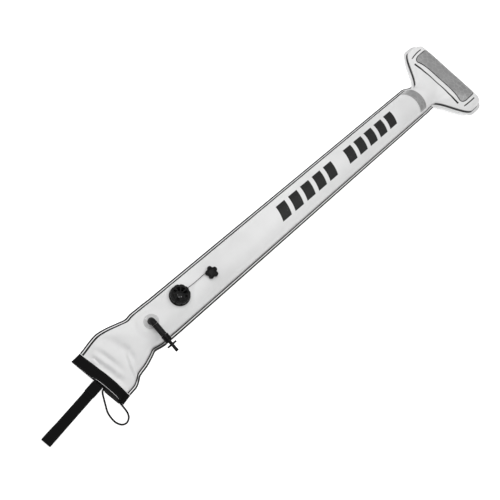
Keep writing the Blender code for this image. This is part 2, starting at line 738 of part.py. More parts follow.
def build_cord_loop():
    route = [(0.0110, -0.0205, 0.00435), (0.0030, -0.0204, 0.00435), (-0.0025, -0.0206, 0.0042),
             (-0.0075, -0.0226, 0.0030), (-0.0140, -0.0307, 0.0020), (-0.0250, -0.0470, 0.0020),
             (-0.0340, -0.0610, 0.0020), (-0.0385, -0.0750, 0.0020), (-0.0400, -0.0910, 0.0020),
             (-0.0350, -0.1050, 0.0020), (-0.0250, -0.1105, 0.0020), (-0.0140, -0.1065, 0.0020),
             (-0.0074, -0.0970, 0.0020), (-0.0047, -0.0860, 0.0022), (-0.0038, -0.0750, 0.0030),
             (-0.0031, -0.0665, 0.0040), (0.0002, -0.0585, 0.0044), (0.0060, -0.0515, 0.00435)]
    tube("cord_loop", smooth_route(route, 0.0075), LOOP_DIAMETER / 2, cord_cover, mouth)


# Dump valve, in a frame on the fabric's outer face

def build_valve_body():
    inside = -FABRIC - CLEAR
    flange_top = inside - GASKET - CLEAR
    flange_low = flange_top - VALVE_FLANGE
    flange_radius = THREAD_RADIUS + VALVE_FLANGE_WIDTH
    seat = flange_low + SEAT_WALL
    hole = THREAD_RADIUS + CLEAR
    turned("valve_gasket", ring(flange_radius, hole, inside - GASKET, inside), rubber, valve)
    turned("valve_base", [(THREAD_RADIUS, THREAD_HEIGHT), (THREAD_RADIUS, flange_top),
                          (flange_radius, flange_top), (flange_radius, flange_low),
                          (PORT_RADIUS, flange_low), (PORT_RADIUS, seat), (VALVE_BORE, seat),
                          (VALVE_BORE, THREAD_HEIGHT)], plastic, valve)
    ring_top = CLEAR + RING_HEIGHT
    turned("valve_ring", [(VALVE_RADIUS - RING_CHAMFER, ring_top),
                          (VALVE_RADIUS, ring_top - RING_CHAMFER), (VALVE_RADIUS, CLEAR),
                          (hole, CLEAR), (hole, ring_top)], plastic, valve)
    seal_low = seat + CLEAR
    seal_top = seal_low + SEAL
    turned("poppet_seal", ring(POPPET_RADIUS - CLEAR, PORT_RADIUS - CLEAR, seal_low, seal_top),
           rubber, valve)
    disc_low = seal_top + CLEAR
    disc_top = disc_low + POPPET
    stem_top = HUB_LOW + STEM_ENGAGE
    poppet = turned("valve_poppet", [(0.0, stem_top), (STEM_RADIUS, stem_top), (STEM_RADIUS, disc_top),
                                     (POPPET_RADIUS, disc_top), (POPPET_RADIUS, disc_low), (0.0, disc_low)],
                    plastic, valve, closed=False)
    post = cylinder(CORD_POST_RADIUS, disc_low + POPPET / 2, CORD_POST_TOP, "cord_post")
    cut(poppet, add_cutter("cord_post", post, valve, (CORD_POST_X, 0.0, 0.0)), "UNION")
    rest = SPRING_WIRE / 2 + CLEAR
    spring_radius = HUB_RADIUS + VALVE_SPRING_GAP + SPRING_WIRE / 2
    coil("valve_spring", spring_radius, SPRING_WIRE, disc_top + rest, CAP_UNDER - rest, VALVE_SPRING_TURNS,
         steel, valve)


# Wedges between the spokes, scallops round the rim and the port for the pull cord
def cap_cutters():
    vents = bmesh.new()
    low = CAP_UNDER - CAP_TOP
    high = CAP_HEIGHT + CAP_TOP
    vent_inner = HUB_RADIUS + HUB_RIM
    vent_outer = CAP_INNER - VENT_RIM
    for index in range(VENTS):
        made = bmesh.ops.create_cube(vents, size=1.0)["verts"]
        for vert in made:
            radius = vent_outer if vert.co.x > 0 else vent_inner
            half = math.sin(math.pi / VENTS) * radius - SPOKE / 2
            vert.co = (radius, math.copysign(half, vert.co.y), low if vert.co.z < 0 else high)
        turn = 2 * math.pi * (index + 0.5) / VENTS
        for vert in made:
            x, y = vert.co.x, vert.co.y
            vert.co.x = x * math.cos(turn) - y * math.sin(turn)
            vert.co.y = x * math.sin(turn) + y * math.cos(turn)
    scallops = bmesh.new()
    circle = CAP_RADIUS - SCALLOP_DEPTH + SCALLOP_RADIUS
    for index in range(SCALLOPS):
        made = bmesh.ops.create_cone(scallops, cap_ends=True, segments=CUTTER_STEPS, radius1=SCALLOP_RADIUS,
                                     radius2=SCALLOP_RADIUS, depth=4 * CAP_HEIGHT)["verts"]
        turn = 2 * math.pi * (index + 0.5) / SCALLOPS
        centre = (circle * math.cos(turn), circle * math.sin(turn), 0.0)
        bmesh.ops.translate(scallops, verts=made, vec=centre)
    port = bmesh.new()
    made = bmesh.ops.create_cone(port, cap_ends=True, segments=CUTTER_STEPS, radius1=CORD_PORT_RADIUS,
                                 radius2=CORD_PORT_RADIUS, depth=3 * CAP_SKIN)["verts"]
    for vert in made:
        vert.co = (vert.co.z + CAP_RADIUS - CAP_SKIN / 2, vert.co.y, vert.co.x + CORD_PORT_HEIGHT)
    bmesh.ops.recalc_face_normals(port, faces=port.faces)
    return {"cap_vents": vents, "cap_scallops": scallops, "cap_cord_port": port}


def build_valve_cap():
    low = RING_HEIGHT + 2 * CLEAR
    thread = THREAD_RADIUS + CLEAR
    thread_top = THREAD_HEIGHT + CLEAR
    guide = STEM_RADIUS + CLEAR
    guide_top = CAP_HEIGHT - CAP_TOP / 2
    profile = [(0.0, CAP_HEIGHT), (CAP_RADIUS - CAP_SHOULDER, CAP_HEIGHT),
               (CAP_RADIUS, CAP_HEIGHT - CAP_SHOULDER), (CAP_RADIUS, low), (thread, low),
               (thread, thread_top), (CAP_INNER, thread_top), (CAP_INNER, CAP_UNDER),
               (HUB_RADIUS, CAP_UNDER), (HUB_RADIUS, HUB_LOW), (guide, HUB_LOW), (guide, guide_top),
               (0.0, guide_top)]
    cap = turned("valve_cap", profile, plastic, valve, closed=False)
    for name, bm in cap_cutters().items():
        cut(cap, add_cutter(name, mesh_from(bm, name), valve))


def build_pull():
    top = TUBE_HEIGHT - VALVE_Z + 2 * CLEAR
    hold = KNOB_RADIUS + 2 * CLEAR
    knob_end = (KNOB_X + hold * math.cos(KNOB_TURN), KNOB_Y + hold * math.sin(KNOB_TURN),
                top + KNOB_HEIGHT / 2)
    post_edge = CORD_POST_X + CORD_POST_RADIUS + CLEAR
    post_hold = CORD_POST_TOP - PULL_CORD_DIAMETER / 4
    route = [(post_edge, 0.0, post_hold), (0.0115, 0.0, 0.0102), (0.0133, 0.0, 0.0110), (0.0165, 0.0, 0.0114),
             (0.0200, 0.0, CORD_PORT_HEIGHT), (0.0270, 0.0, CORD_PORT_HEIGHT), (0.0330, 0.0001, 0.0098),
             (0.0400, 0.0003, 0.0066), (0.0480, 0.0005, 0.0045), (0.0580, 0.0007, 0.0040),
             (0.0680, 0.0008, 0.0044), (0.0765, 0.0006, 0.0056), knob_end]
    tube("pull_cord", smooth_route(route, 0.0038), PULL_CORD_DIAMETER / 2, cord_cover, valve)

    bm = bmesh.new()
    made = bmesh.ops.create_circle(bm, cap_ends=True, segments=6 * KNOB_LOBES, radius=1.0)["verts"]
    for vert in made:
        angle = math.atan2(vert.co.y, vert.co.x)
        notch = math.sin(KNOB_LOBES * (angle - KNOB_TURN) / 2) ** KNOB_NOTCH
        radius = KNOB_RADIUS - KNOB_LOBE_DEPTH * notch
        vert.co = (radius * math.cos(angle), radius * math.sin(angle), 0.0)
    grown = bmesh.ops.extrude_face_region(bm, geom=bm.faces[:])["geom"]
    raised = [item for item in grown if isinstance(item, bmesh.types.BMVert)]
    bmesh.ops.translate(bm, verts=raised, vec=(0.0, 0.0, KNOB_HEIGHT))
    bmesh.ops.recalc_face_normals(bm, faces=bm.faces)
    data = mesh_from(bm, "pull_knob")
    smooth(data)
    knob = add("pull_knob", data, plastic, valve, (KNOB_X, KNOB_Y, top))
    bevel = knob.modifiers.new("round", "BEVEL")
    bevel.width = KNOB_ROUND
    bevel.segments = 2
    bevel.limit_method = "ANGLE"
    bevel.angle_limit = RIM_ANGLE


# Inflator, in a tilted frame on the fabric; the hose's own frame has its Z along the hose

def build_inflator():
    flange_top = CLEAR + INFLATOR_FLANGE
    turned("inflator_flange", [(INFLATOR_FLANGE_RADIUS - INFLATOR_FLANGE / 2, flange_top),
                               (INFLATOR_FLANGE_RADIUS, CLEAR + INFLATOR_FLANGE / 2),
                               (INFLATOR_FLANGE_RADIUS, CLEAR), (BORE_RADIUS, CLEAR),
                               (BORE_RADIUS, flange_top)], grey_plastic, inflator)

    fitting = empty("fitting", (0.0, 0.0, 0.0), (0.0, 0.0, INFLATOR_TURN), inflator)
    base = flange_top + CLEAR
    boss_top = base + BOSS_HEIGHT
    bend_start = boss_top + ELBOW_RISE
    sweep = math.pi / 2 + HOSE_DROOP
    bend_steps = 9
    path = [(0.0, 0.0, base), (0.0, 0.0, boss_top), (0.0, 0.0, boss_top + CLEAR)]
    widths = [BOSS_RADIUS, BOSS_RADIUS, ELBOW_RADIUS]
    for step in range(bend_steps + 1):
        angle = sweep * step / bend_steps
        out = ELBOW_BEND * (math.cos(angle) - 1.0)
        path.append((0.0, out, bend_start + ELBOW_BEND * math.sin(angle)))
        widths.append(ELBOW_RADIUS)
    heading = Vector((0.0, -math.sin(sweep), math.cos(sweep)))
    outlet = Vector(path[-1]) + heading * ELBOW_TAIL
    path.append(outlet)
    widths.append(ELBOW_RADIUS)
    elbow = tube("inflator_elbow", path, ELBOW_RADIUS, rubber, fitting, 4, widths)
    bore_path = [(0.0, 0.0, base - BOSS_HEIGHT), *path[3:], outlet + heading * BOSS_HEIGHT]
    bore = tube("elbow_bore", bore_path, BORE_RADIUS, rubber, fitting, 2)
    elbow = add("inflator_elbow", as_mesh(elbow), rubber, fitting)
    cut(elbow, add_cutter("elbow_bore", as_mesh(bore), fitting))

    hose = empty("hose", outlet, (sweep, 0.0, 0.0), fitting)
    turned("inflator_hose", ring(HOSE_RADIUS, BORE_RADIUS, CLEAR, CLEAR + HOSE_LENGTH), rubber, hose)
    collar = empty("collar", (0.0, 0.0, HOSE_LENGTH + 2 * CLEAR), parent=hose)
    build_nozzle(collar)


def build_nozzle(collar):
    guide_start = COLLAR_LENGTH - COLLAR_GUIDE
    slide = NOZZLE_RADIUS + CLEAR
    groove_middle = guide_start + COLLAR_GUIDE / 2
    groove_half = O_RING + CLEAR
    groove_radius = slide + 2 * O_RING + CLEAR
    port = NOZZLE_SEAL_RADIUS - SEAL_ON_PORT
    groove_low = groove_middle - groove_half
    groove_high = groove_middle + groove_half
    rim = COLLAR_RADIUS - COLLAR_CHAMFER
    turned("inflator_collar", [(rim, COLLAR_LENGTH), (COLLAR_RADIUS, COLLAR_LENGTH - COLLAR_CHAMFER),
                               (COLLAR_RADIUS, COLLAR_CHAMFER), (rim, 0.0), (port, 0.0), (port, COLLAR_REAR),
                               (CHAMBER_RADIUS, COLLAR_REAR), (CHAMBER_RADIUS, guide_start),
                               (slide, guide_start), (slide, groove_low), (groove_radius, groove_low),
                               (groove_radius, groove_high), (slide, groove_high), (slide, COLLAR_LENGTH)],
           plastic, collar)
    section = arc((slide + O_RING, groove_middle), O_RING, 90.0, -210.0, 5)
    turned("nozzle_o_ring", section, rubber, collar)

    tip = COLLAR_LENGTH + NOZZLE_LENGTH
    shoulder_top = guide_start - CLEAR
    shoulder_low = shoulder_top - SHOULDER
    disc_low = COLLAR_LENGTH + DISC_SETBACK
    disc_top = disc_low + DISC
    disc_rim = DISC_RADIUS - DISC_EDGE
    seal_top = -CLEAR
    seal_low = seal_top - NOZZLE_SEAL
    head_top = seal_low - CLEAR
    head_low = head_top - STEM_HEAD
    head_radius = NOZZLE_SEAL_RADIUS - SEAL_ON_HEAD
    turned("inflator_nozzle", [(0.0, disc_low), (NOZZLE_BORE, disc_low), (NOZZLE_BORE, tip),
                               (NOZZLE_RADIUS - NOZZLE_TIP_ROUND / 2, tip),
                               (NOZZLE_RADIUS, tip - NOZZLE_TIP_ROUND), (NOZZLE_RADIUS, disc_top),
                               (disc_rim, disc_top), (DISC_RADIUS, disc_top - DISC_EDGE),
                               (DISC_RADIUS, disc_low + DISC_EDGE), (disc_rim, disc_low),
                               (NOZZLE_RADIUS, disc_low), (NOZZLE_RADIUS, shoulder_top),
                               (SHOULDER_RADIUS, shoulder_top), (SHOULDER_RADIUS, shoulder_low),
                               (STEM_END_RADIUS, shoulder_low), (STEM_END_RADIUS, head_top),
                               (head_radius, head_top), (head_radius, head_low), (0.0, head_low)],
           plastic, collar, closed=False)
    turned("nozzle_seal", ring(NOZZLE_SEAL_RADIUS, STEM_END_RADIUS + CLEAR, seal_low, seal_top),
           rubber, collar)
    rest = SPRING_WIRE / 2 + CLEAR
    spring_radius = CHAMBER_RADIUS - NOZZLE_SPRING_GAP - SPRING_WIRE / 2
    coil("nozzle_spring", spring_radius, SPRING_WIRE, COLLAR_REAR + rest, shoulder_low - rest,
         NOZZLE_SPRING_TURNS, steel, collar)


build_tube()
build_head()
build_head_panel()
build_bindings()
build_bands()
build_mouth_tapes()
build_flaps()
build_strap()
build_cord_loop()
build_valve_body()
build_valve_cap()
build_pull()
build_inflator()
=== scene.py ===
import math
from functools import reduce
from itertools import accumulate

import bmesh
import bpy
from mathutils import Matrix, Vector, noise
from mathutils.geometry import intersect_point_line


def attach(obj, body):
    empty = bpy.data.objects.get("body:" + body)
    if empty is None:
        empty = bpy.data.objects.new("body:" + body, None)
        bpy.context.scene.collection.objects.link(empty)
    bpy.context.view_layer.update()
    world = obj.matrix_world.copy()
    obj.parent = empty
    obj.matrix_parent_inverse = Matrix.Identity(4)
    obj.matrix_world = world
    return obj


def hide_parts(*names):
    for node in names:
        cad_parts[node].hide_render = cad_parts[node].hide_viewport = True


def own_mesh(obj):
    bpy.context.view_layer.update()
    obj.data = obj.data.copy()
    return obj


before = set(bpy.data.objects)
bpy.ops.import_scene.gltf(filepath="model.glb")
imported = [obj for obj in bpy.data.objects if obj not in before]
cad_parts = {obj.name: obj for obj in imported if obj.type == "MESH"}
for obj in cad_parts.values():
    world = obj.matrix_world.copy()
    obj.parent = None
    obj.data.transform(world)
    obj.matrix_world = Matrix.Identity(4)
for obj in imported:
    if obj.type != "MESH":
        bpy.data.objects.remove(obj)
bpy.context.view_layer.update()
scene = bpy.context.scene
print("frame:", len(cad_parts), "nodes")


# Camera at the photograph's viewpoint

photoView = {"place": (-0.9544, -0.2266, 1.4300), "right": (0.6769, -0.6974, 0.2366),
             "up": (0.5848, 0.7040, 0.4031), "lens": 43.2, "sensor": 36.0}


def setCamera():
    right, up = Vector(photoView["right"]).normalized(), Vector(photoView["up"]).normalized()
    facing = Matrix((right, up, right.cross(up))).transposed()
    camera = bpy.data.objects.new("photoCamera", bpy.data.cameras.new("photoCamera"))
    camera.matrix_world = Matrix.Translation(photoView["place"]) @ facing.to_4x4()
    camera.data.lens = photoView["lens"]
    camera.data.sensor_width = photoView["sensor"]
    scene.collection.objects.link(camera)
    scene.camera = camera


setCamera()
print("camera set")


# Shader wiring

class Wire:
    def __init__(self, tree, socket=None):
        self.tree = tree
        self.socket = socket

    def node(self, kind, settings=None, inputs=None, out=0):
        made = self.tree.nodes.new(kind)
        for name, value in (settings or {}).items():
            setattr(made, name, value)
        for name, value in (inputs or {}).items():
            if isinstance(value, Wire):
                self.tree.links.new(value.socket, made.inputs[name])
            else:
                made.inputs[name].default_value = value
        return Wire(self.tree, made.outputs[out])

    def output(self, index):
        return Wire(self.tree, self.socket.node.outputs[index])

    def maths(self, operation, *values):
        return self.node("ShaderNodeMath", {"operation": operation}, dict(enumerate(values)))

    def __add__(self, other):
        return self.maths("ADD", self, other)

    def __sub__(self, other):
        return self.maths("SUBTRACT", self, other)

    def __rsub__(self, other):
        return self.maths("SUBTRACT", other, self)

    def __mul__(self, other):
        return self.maths("MULTIPLY", self, other)

    def __mod__(self, other):
        return self.maths("FLOORED_MODULO", self, other)

    def __or__(self, other):
        return self.maths("MAXIMUM", self, other)

    def __abs__(self):
        return self.maths("ABSOLUTE", self)

    __radd__ = __add__
    __rmul__ = __mul__

    def sine(self, wavelength):
        return self.maths("SINE", self * (2 * math.pi / wavelength))

    def rise(self, low, high):
        return self.node("ShaderNodeMapRange", {"interpolation_type": "SMOOTHSTEP"},
                         {"Value": self, "From Min": low, "From Max": high})

    def between(self, low, high, soft):
        return self.rise(low - soft, low + soft) * (1.0 - self.rise(high - soft, high + soft))

    def mixed(self, *ends):
        first, second = [grey(end) if isinstance(end, float) else end for end in ends]
        return self.node("ShaderNodeMix", {"data_type": "RGBA"}, {0: self, 6: first, 7: second}, out=2)

    def noise(self, scale, detail):
        return self.node("ShaderNodeTexNoise", inputs={"Vector": self, "Scale": scale, "Detail": detail})

    def cells(self, scale):
        return self.node("ShaderNodeTexVoronoi", {"feature": "DISTANCE_TO_EDGE"},
                         {"Vector": self, "Scale": scale})

    def bump(self):
        return self.node("ShaderNodeBump", inputs={"Strength": 1.0, "Distance": 1.0, "Height": self})



def grey(tone):
    return (tone, tone, tone, 1.0)


# A new material's feed, which wires its shader and returns it, with object coordinates and its piece's lay
def newFinish(name, **constants):
    material = bpy.data.materials.new(name)
    material.use_nodes = True
    tree = material.node_tree
    inputs = tree.nodes["Principled BSDF"].inputs
    for socket, value in constants.items():
        inputs[socket.replace("_", " ")].default_value = value
    wire = Wire(tree)
    place = wire.node("ShaderNodeTexCoord", out=3)
    lay = wire.node("ShaderNodeAttribute", {"attribute_name": "lay"}, out=1)
    split = wire.node("ShaderNodeSeparateXYZ", inputs={0: lay})

    def feed(**values):
        for socket, value in values.items():
            tree.links.new(value.socket, inputs[socket.replace("_", " ")])
        return material

    return feed, place, (split, split.output(1), split.output(2))


fabricLook = {"pale": 0.78, "shade": 0.70, "ink": 0.012, "wear": 0.12, "weldShade": 0.0016, "thread": 0.0011,
              "weave": 0.00003, "crumple": 0.0004}


# White coated fabric; mark gives the wires' dark places, or None
def fabricFinish(name, mark=None, specular=0.3):
    look = fabricLook
    feed, place, (along, across, weld) = newFinish(name, Coat_Roughness=0.4, Specular_IOR_Level=specular)
    mottle = place.noise(7.0, 4.0)
    colour = mottle.rise(0.3, 0.75).mixed(look["pale"], look["shade"])
    # Painted shade in the crease along the weld: the fabric is darker within this reach of it
    colour = abs(weld).rise(0.0, look["weldShade"]).mixed(look["shade"] * 0.75, colour)
    coat = 0.05 + mottle * 0.08
    if mark:
        ink = mark(along, across, weld)
        worn = ink * (1.0 - place.noise(420.0, 2.0).rise(0.66, 0.8) * look["wear"])
        colour = worn.mixed(colour, look["ink"])
        coat = coat * (1.0 - ink)
    weave = along.sine(look["thread"]) * across.sine(look["thread"]) * look["weave"]
    crumple = place.noise(45.0, 3.0) * look["crumple"]
    return feed(Base_Color=colour, Roughness=0.42 + mottle * 0.16, Coat_Weight=coat,
                Normal=(weave + crumple).bump())


markings = {"start": 0.622, "pitch": 0.0505, "share": 0.70, "count": 5, "gap": 0.042, "half": 0.0225,
            "slant": 0.34, "soft": 0.0004}
seam = {"line": (-0.0026, -0.0006, 0.0002), "leftLine": (-0.0026, 0.0010, 0.0003), "middle": (-0.001, 0.001),
        "start": (0.0262, 0.0266), "darkEnd": (0.0195, 0.0205)}


# Dark line along the weld, under the binding's inner edge and broader on the left
def seamLine(along, across, weld):
    left = weld.between(*seam["leftLine"]) * across.rise(*seam["middle"])
    return (weld.between(*seam["line"]) | left) * along.rise(*seam["start"])


# Two groups of slanted blocks along the tube
def tubeMarks(along, across, weld):
    m = markings
    leaned = along - across * m["slant"]
    group = m["pitch"] * m["count"]
    groups = []
    for start in (m["start"], m["start"] + group + m["gap"]):
        run = leaned - start
        inside = run.between(0.0, group - m["pitch"] * (1.0 - m["share"]), m["soft"])
        groups.append(inside * (run % m["pitch"]).between(0.0, m["pitch"] * m["share"], m["soft"]))
    blocks = reduce(Wire.__or__, groups)
    return blocks * across.between(-m["half"], m["half"], m["soft"]) | seamLine(along, across, weld)


headMarks = {"edge": (-0.0003, 0.0010), "edgeSpan": (1.348, 1.472, 0.004), "stripe": 1.386, "bow": 0.014,
             "width": 0.0044, "reach": 0.100, "stripeEnd": (0.098, 0.100), "cuff": (0.1170, 0.1212),
             "cuffSpan": (1.414, 1.458, 0.001), "soft": 0.0005}


# A line along the head's side welds, a bowed stripe behind the panel and a cuff line on each lobe
def headStripes(along, across, weld):
    m = headMarks
    side = abs(across)
    edge = weld.between(*m["edge"], m["soft"]) * along.between(*m["edgeSpan"])
    share = across * (1.0 / m["reach"])
    bowed = along - share * share * m["bow"]
    stripe = bowed.between(m["stripe"], m["stripe"] + m["width"], m["soft"])
    stripe = stripe * (1.0 - side.rise(*m["stripeEnd"]))
    cuff = side.between(*m["cuff"], m["soft"]) * along.between(*m["cuffSpan"])
    return edge | stripe | cuff


# Dark on the back panel near the mouth's edge, together with the seam line
def mouthDark(along, across, weld):
    return 1.0 - along.rise(*seam["darkEnd"]) | seamLine(along, across, weld)


bindingLook = {"white": 0.90, "ink": 0.008, "inner": (0.0020, 0.0024), "outer": (0.0043, 0.0078, 0.0002),
               "creases": ((0.138, 0.168), (0.061, 0.073)), "soft": 0.005, "creaseShade": 0.7, "rib": 0.0011}


# White tape with two dark lines, and painted shade in creases on the right binding only
def bindingFinish():
    look = bindingLook
    feed, place, (along, across, other) = newFinish("edgeBinding", Specular_IOR_Level=0.15)
    left = place.node("ShaderNodeSeparateXYZ", inputs={0: place}, out=1).rise(-0.001, 0.001)
    lines = 1.0 - across.rise(*look["inner"]) | across.between(*look["outer"])
    # Painted shade where the right binding folds, mixed towards the dark line colour
    for span in look["creases"]:
        lines = lines | along.between(*span, look["soft"]) * (1.0 - left) * look["creaseShade"]
    dust = place.noise(60.0, 3.0)
    pale = dust.rise(0.35, 0.8).mixed(look["white"], look["white"] * 0.86)
    return feed(Base_Color=lines.mixed(pale, look["ink"]), Roughness=0.5 + dust * 0.2,
                Normal=(along.sine(look["rib"]) * 0.00004 + dust * 0.00015).bump())


webbingLook = {"dark": 0.0020, "pale": 0.0052, "rib": 0.0017, "yarn": 0.0023, "sway": 0.0004,
               "stitch": 0.0042, "dash": (0.0006, 0.0034, 0.0002), "thread": 0.00045, "threadSoft": 0.00012}


# Black webbing with rows of stitches at the given places across it
def webbingFinish(name, rows):
    look = webbingLook
    feed, place, (along, across, other) = newFinish(name, Specular_IOR_Level=0.12)
    rib = across.sine(look["rib"])
    yarn = (along + abs(rib) * look["sway"]).sine(look["yarn"])
    weave = rib * 0.55 + yarn * 0.45
    fuzz = place.noise(900.0, 2.0)
    tone = (weave * 0.3 + 0.5) * 0.7 + fuzz * 0.3
    colour = tone.rise(0.2, 0.9).mixed(look["dark"], look["pale"])
    dash = (along % look["stitch"]).between(*look["dash"])
    half = look["thread"]
    stitches = [across.between(row - half, row + half, look["threadSoft"]) * dash for row in rows]
    thread = reduce(Wire.__or__, stitches)
    return feed(Base_Color=thread.mixed(colour, look["pale"] * 2.2), Roughness=0.72 + fuzz * 0.2,
                Normal=(weave * 0.00010 + fuzz * 0.00006 + thread * 0.00022).bump())


reflectiveLook = {"pale": 0.37, "grey": 0.30, "line": 0.016, "lineEdge": (0.0022, 0.0028), "cell": 260.0,
                  "comb": 62.0}


def reflectiveFinish():
    look = reflectiveLook
    feed, place, (along, across, edge) = newFinish("reflectiveGrey", IOR=1.5)
    flat = place.node("ShaderNodeCombineXYZ", inputs={0: along, 1: across})
    bead = flat.cells(look["cell"])
    comb = flat.cells(look["comb"]).rise(0.02, 0.07)
    worn = place.noise(14.0, 4.0).rise(0.35, 0.75)
    colour = worn.mixed(look["pale"], look["grey"])
    colour = comb.mixed(look["pale"] * 1.12, colour)
    colour = edge.rise(*look["lineEdge"]).mixed(look["line"], colour)
    return feed(Base_Color=colour, Roughness=0.34 + worn * 0.18, Metallic=0.25 + comb * 0.2,
                Normal=(bead * 0.00010 + comb * 0.00005).bump())


# Moulded plastic or rubber: grain, scuffs and a worn sheen
def mouldedFinish(name, tone, rough, grain, grainDepth, specular=0.5):
    feed, place, lay = newFinish(name, Specular_IOR_Level=specular)
    scuff = place.noise(120.0, 5.0).rise(0.52, 0.72)
    fine = place.noise(grain, 2.0)
    return feed(Base_Color=scuff.mixed(tone, tone * 1.5 + 0.002),
                Roughness=rough + scuff * 0.14 + fine * 0.06, Normal=(fine * grainDepth).bump())


# Braid of strands that wind both ways round the cord
def cordFinish(name, pitch):
    feed, place, (along, cosine, sine) = newFinish(name, Specular_IOR_Level=0.05)
    turn = along * (2 * math.pi / pitch)
    first, second = turn.maths("SINE", turn), turn.maths("COSINE", turn)
    doubleCos, doubleSin = cosine * cosine - sine * sine, cosine * sine * 2.0
    strands = (first * doubleCos + second * doubleSin) | (first * doubleCos - second * doubleSin)
    fuzz = place.noise(1500.0, 2.0)
    tone = (strands * 0.4 + fuzz * 0.5).rise(0.0, 0.8)
    return feed(Base_Color=tone.mixed(0.002, 0.008), Roughness=0.7 + fuzz * 0.2,
                Normal=(strands * 0.00008 + fuzz * 0.00003).bump())


def filmFinish():
    feed, place, lay = newFinish("milkyFilm", IOR=1.45)
    haze = place.noise(80.0, 4.0)
    return feed(Base_Color=haze.mixed(0.62, 0.78), Roughness=0.22 + haze * 0.25,
                Alpha=0.55 + haze * 0.3, Normal=(haze * 0.0002).bump())


def steelFinish():
    feed, place, lay = newFinish("springWire")
    drawn = place.noise(700.0, 3.0)
    return feed(Base_Color=drawn.mixed(0.42, 0.62), Metallic=0.9 + drawn * 0.1,
                Roughness=0.2 + drawn * 0.25, Normal=(drawn * 0.00002).bump())


def floorFinish():
    feed, place, lay = newFinish("paleFloor", Emission_Strength=0.45, Specular_IOR_Level=0.1)
    cloud = place.noise(1.4, 3.0)
    return feed(Base_Color=cloud.mixed(0.90, 0.93), Roughness=0.8 + cloud * 0.1,
                Emission_Color=cloud.mixed(0.98, 1.0))


fabricFront = fabricFinish("coatedFabricFront", tubeMarks)
fabricBack = fabricFinish("coatedFabricBack", mouthDark, 0.12)
fabricHead = fabricFinish("coatedFabricHead", headStripes)
fabricPlain = fabricFinish("coatedFabric")
edgeBinding = bindingFinish()
tapeWebbing = webbingFinish("tapeWebbing", (0.0030, 0.0220))
strapWebbing = webbingFinish("strapWebbing", (-0.0098, 0.0098))
keeperWebbing = webbingFinish("keeperWebbing", (-0.0272, -0.0048))
reflectiveGrey = reflectiveFinish()
blackPlastic = mouldedFinish("blackPlastic", 0.0035, 0.24, 2400.0, 0.00002, 0.12)
greyPlastic = mouldedFinish("greyPlastic", 0.52, 0.42, 1800.0, 0.00002)
blackRubber = mouldedFinish("blackRubber", 0.0055, 0.46, 1500.0, 0.00003, 0.16)
loopCord = cordFinish("loopCord", 0.0042)
pullCord = cordFinish("pullCord", 0.0020)
milkyFilm = filmFinish()
springWire = steelFinish()
print("materials made")


# Mesh helpers

def ease(t):
    t = min(max(t, 0.0), 1.0)
    return t * t * (3.0 - 2.0 * t)


def mix(a, b, t):
    return a + (b - a) * t


def spaced(start, end, count):
    return [mix(start, end, step / count) for step in range(count + 1)]


# Lengths along a line of points, up to each of them
def lengths(points):
    return [0.0, *accumulate((after - before).length for before, after in zip(points, points[1:]))]


# Places from the start through the end of each leg, with about its step between them
def ladder(start, *legs):
    places = []
    for end, size in legs:
        count = max(1, math.ceil((end - start) / size - 0.001))
        places += spaced(start, end, count)[:-1]
        start = end
    return [*places, start]


# Share along a line of its point nearest to a place, and the distance to it
def toLine(here, start, end):
    share = min(max(intersect_point_line(here, start, end)[1], 0.0), 1.0)
    return share, (here - start.lerp(end, share)).length


def newObject(name, bm, finish):
    mesh = bpy.data.meshes.new(name)
    bm.to_mesh(mesh)
    bm.free()
    mesh.materials.append(finish)
    made = bpy.data.objects.new(name, mesh)
    scene.collection.objects.link(made)
    return made


def addPiece(name, bm, finish, nodes, body="envelope", sharp=40.0):
    piece = newObject(name, bm, finish)
    piece.data.shade_smooth()
    piece.data.set_sharp_from_angle(angle=math.radians(sharp))
    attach(piece, body)
    if nodes:
        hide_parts(*nodes)
    return piece


def thicken(piece, thickness, offset, even=True):
    solidify = piece.modifiers.new("thickness", "SOLIDIFY")
    solidify.thickness = thickness
    solidify.offset = offset
    solidify.use_even_offset = even
    solidify.thickness_clamp = 1.0
    return piece


def roundEdges(piece, width):
    bevel = piece.modifiers.new("round", "BEVEL")
    bevel.width = width
    bevel.segments = 2
    bevel.limit_method = "ANGLE"
    bevel.angle_limit = math.radians(40.0)
    return piece


# A grid moved to rows of points, with each point's lay kept as an attribute
def gridOf(rows, lays):
    longSteps, crossSteps = len(rows) - 1, len(rows[0]) - 1
    bm = bmesh.new()
    bmesh.ops.create_grid(bm, x_segments=longSteps, y_segments=crossSteps, size=0.5)
    lay = bm.verts.layers.float_vector.new("lay")
    for vert in bm.verts:
        row = round((vert.co.x + 0.5) * longSteps)
        column = round((vert.co.y + 0.5) * crossSteps)
        vert[lay] = lays[row][column]
        vert.co = rows[row][column]
    return bm


def welded(bm, fill=False):
    bmesh.ops.remove_doubles(bm, verts=bm.verts, dist=0.000002)
    if fill:
        bmesh.ops.holes_fill(bm, edges=[edge for edge in bm.edges if edge.is_boundary])
    bmesh.ops.recalc_face_normals(bm, faces=bm.faces)
    return bm


def tubeAlong(points, radii, sides):
    rows, lays = [], []
    circle = [(math.cos(a), math.sin(a)) for a in spaced(0.0, 2 * math.pi, sides)]
    normal = (points[1] - points[0]).orthogonal()
    for index, (point, length) in enumerate(zip(points, lengths(points))):
        before, after = points[max(index - 1, 0)], points[min(index + 1, len(points) - 1)]
        tangent = (after - before).normalized()
        normal = (normal - tangent * normal.dot(tangent)).normalized()
        side = tangent.cross(normal)
        rows.append([point + (normal * cosine + side * sine) * radii[index] for cosine, sine in circle])
        lays.append([(length, cosine, sine) for cosine, sine in circle])
    return welded(gridOf(rows, lays), fill=True)


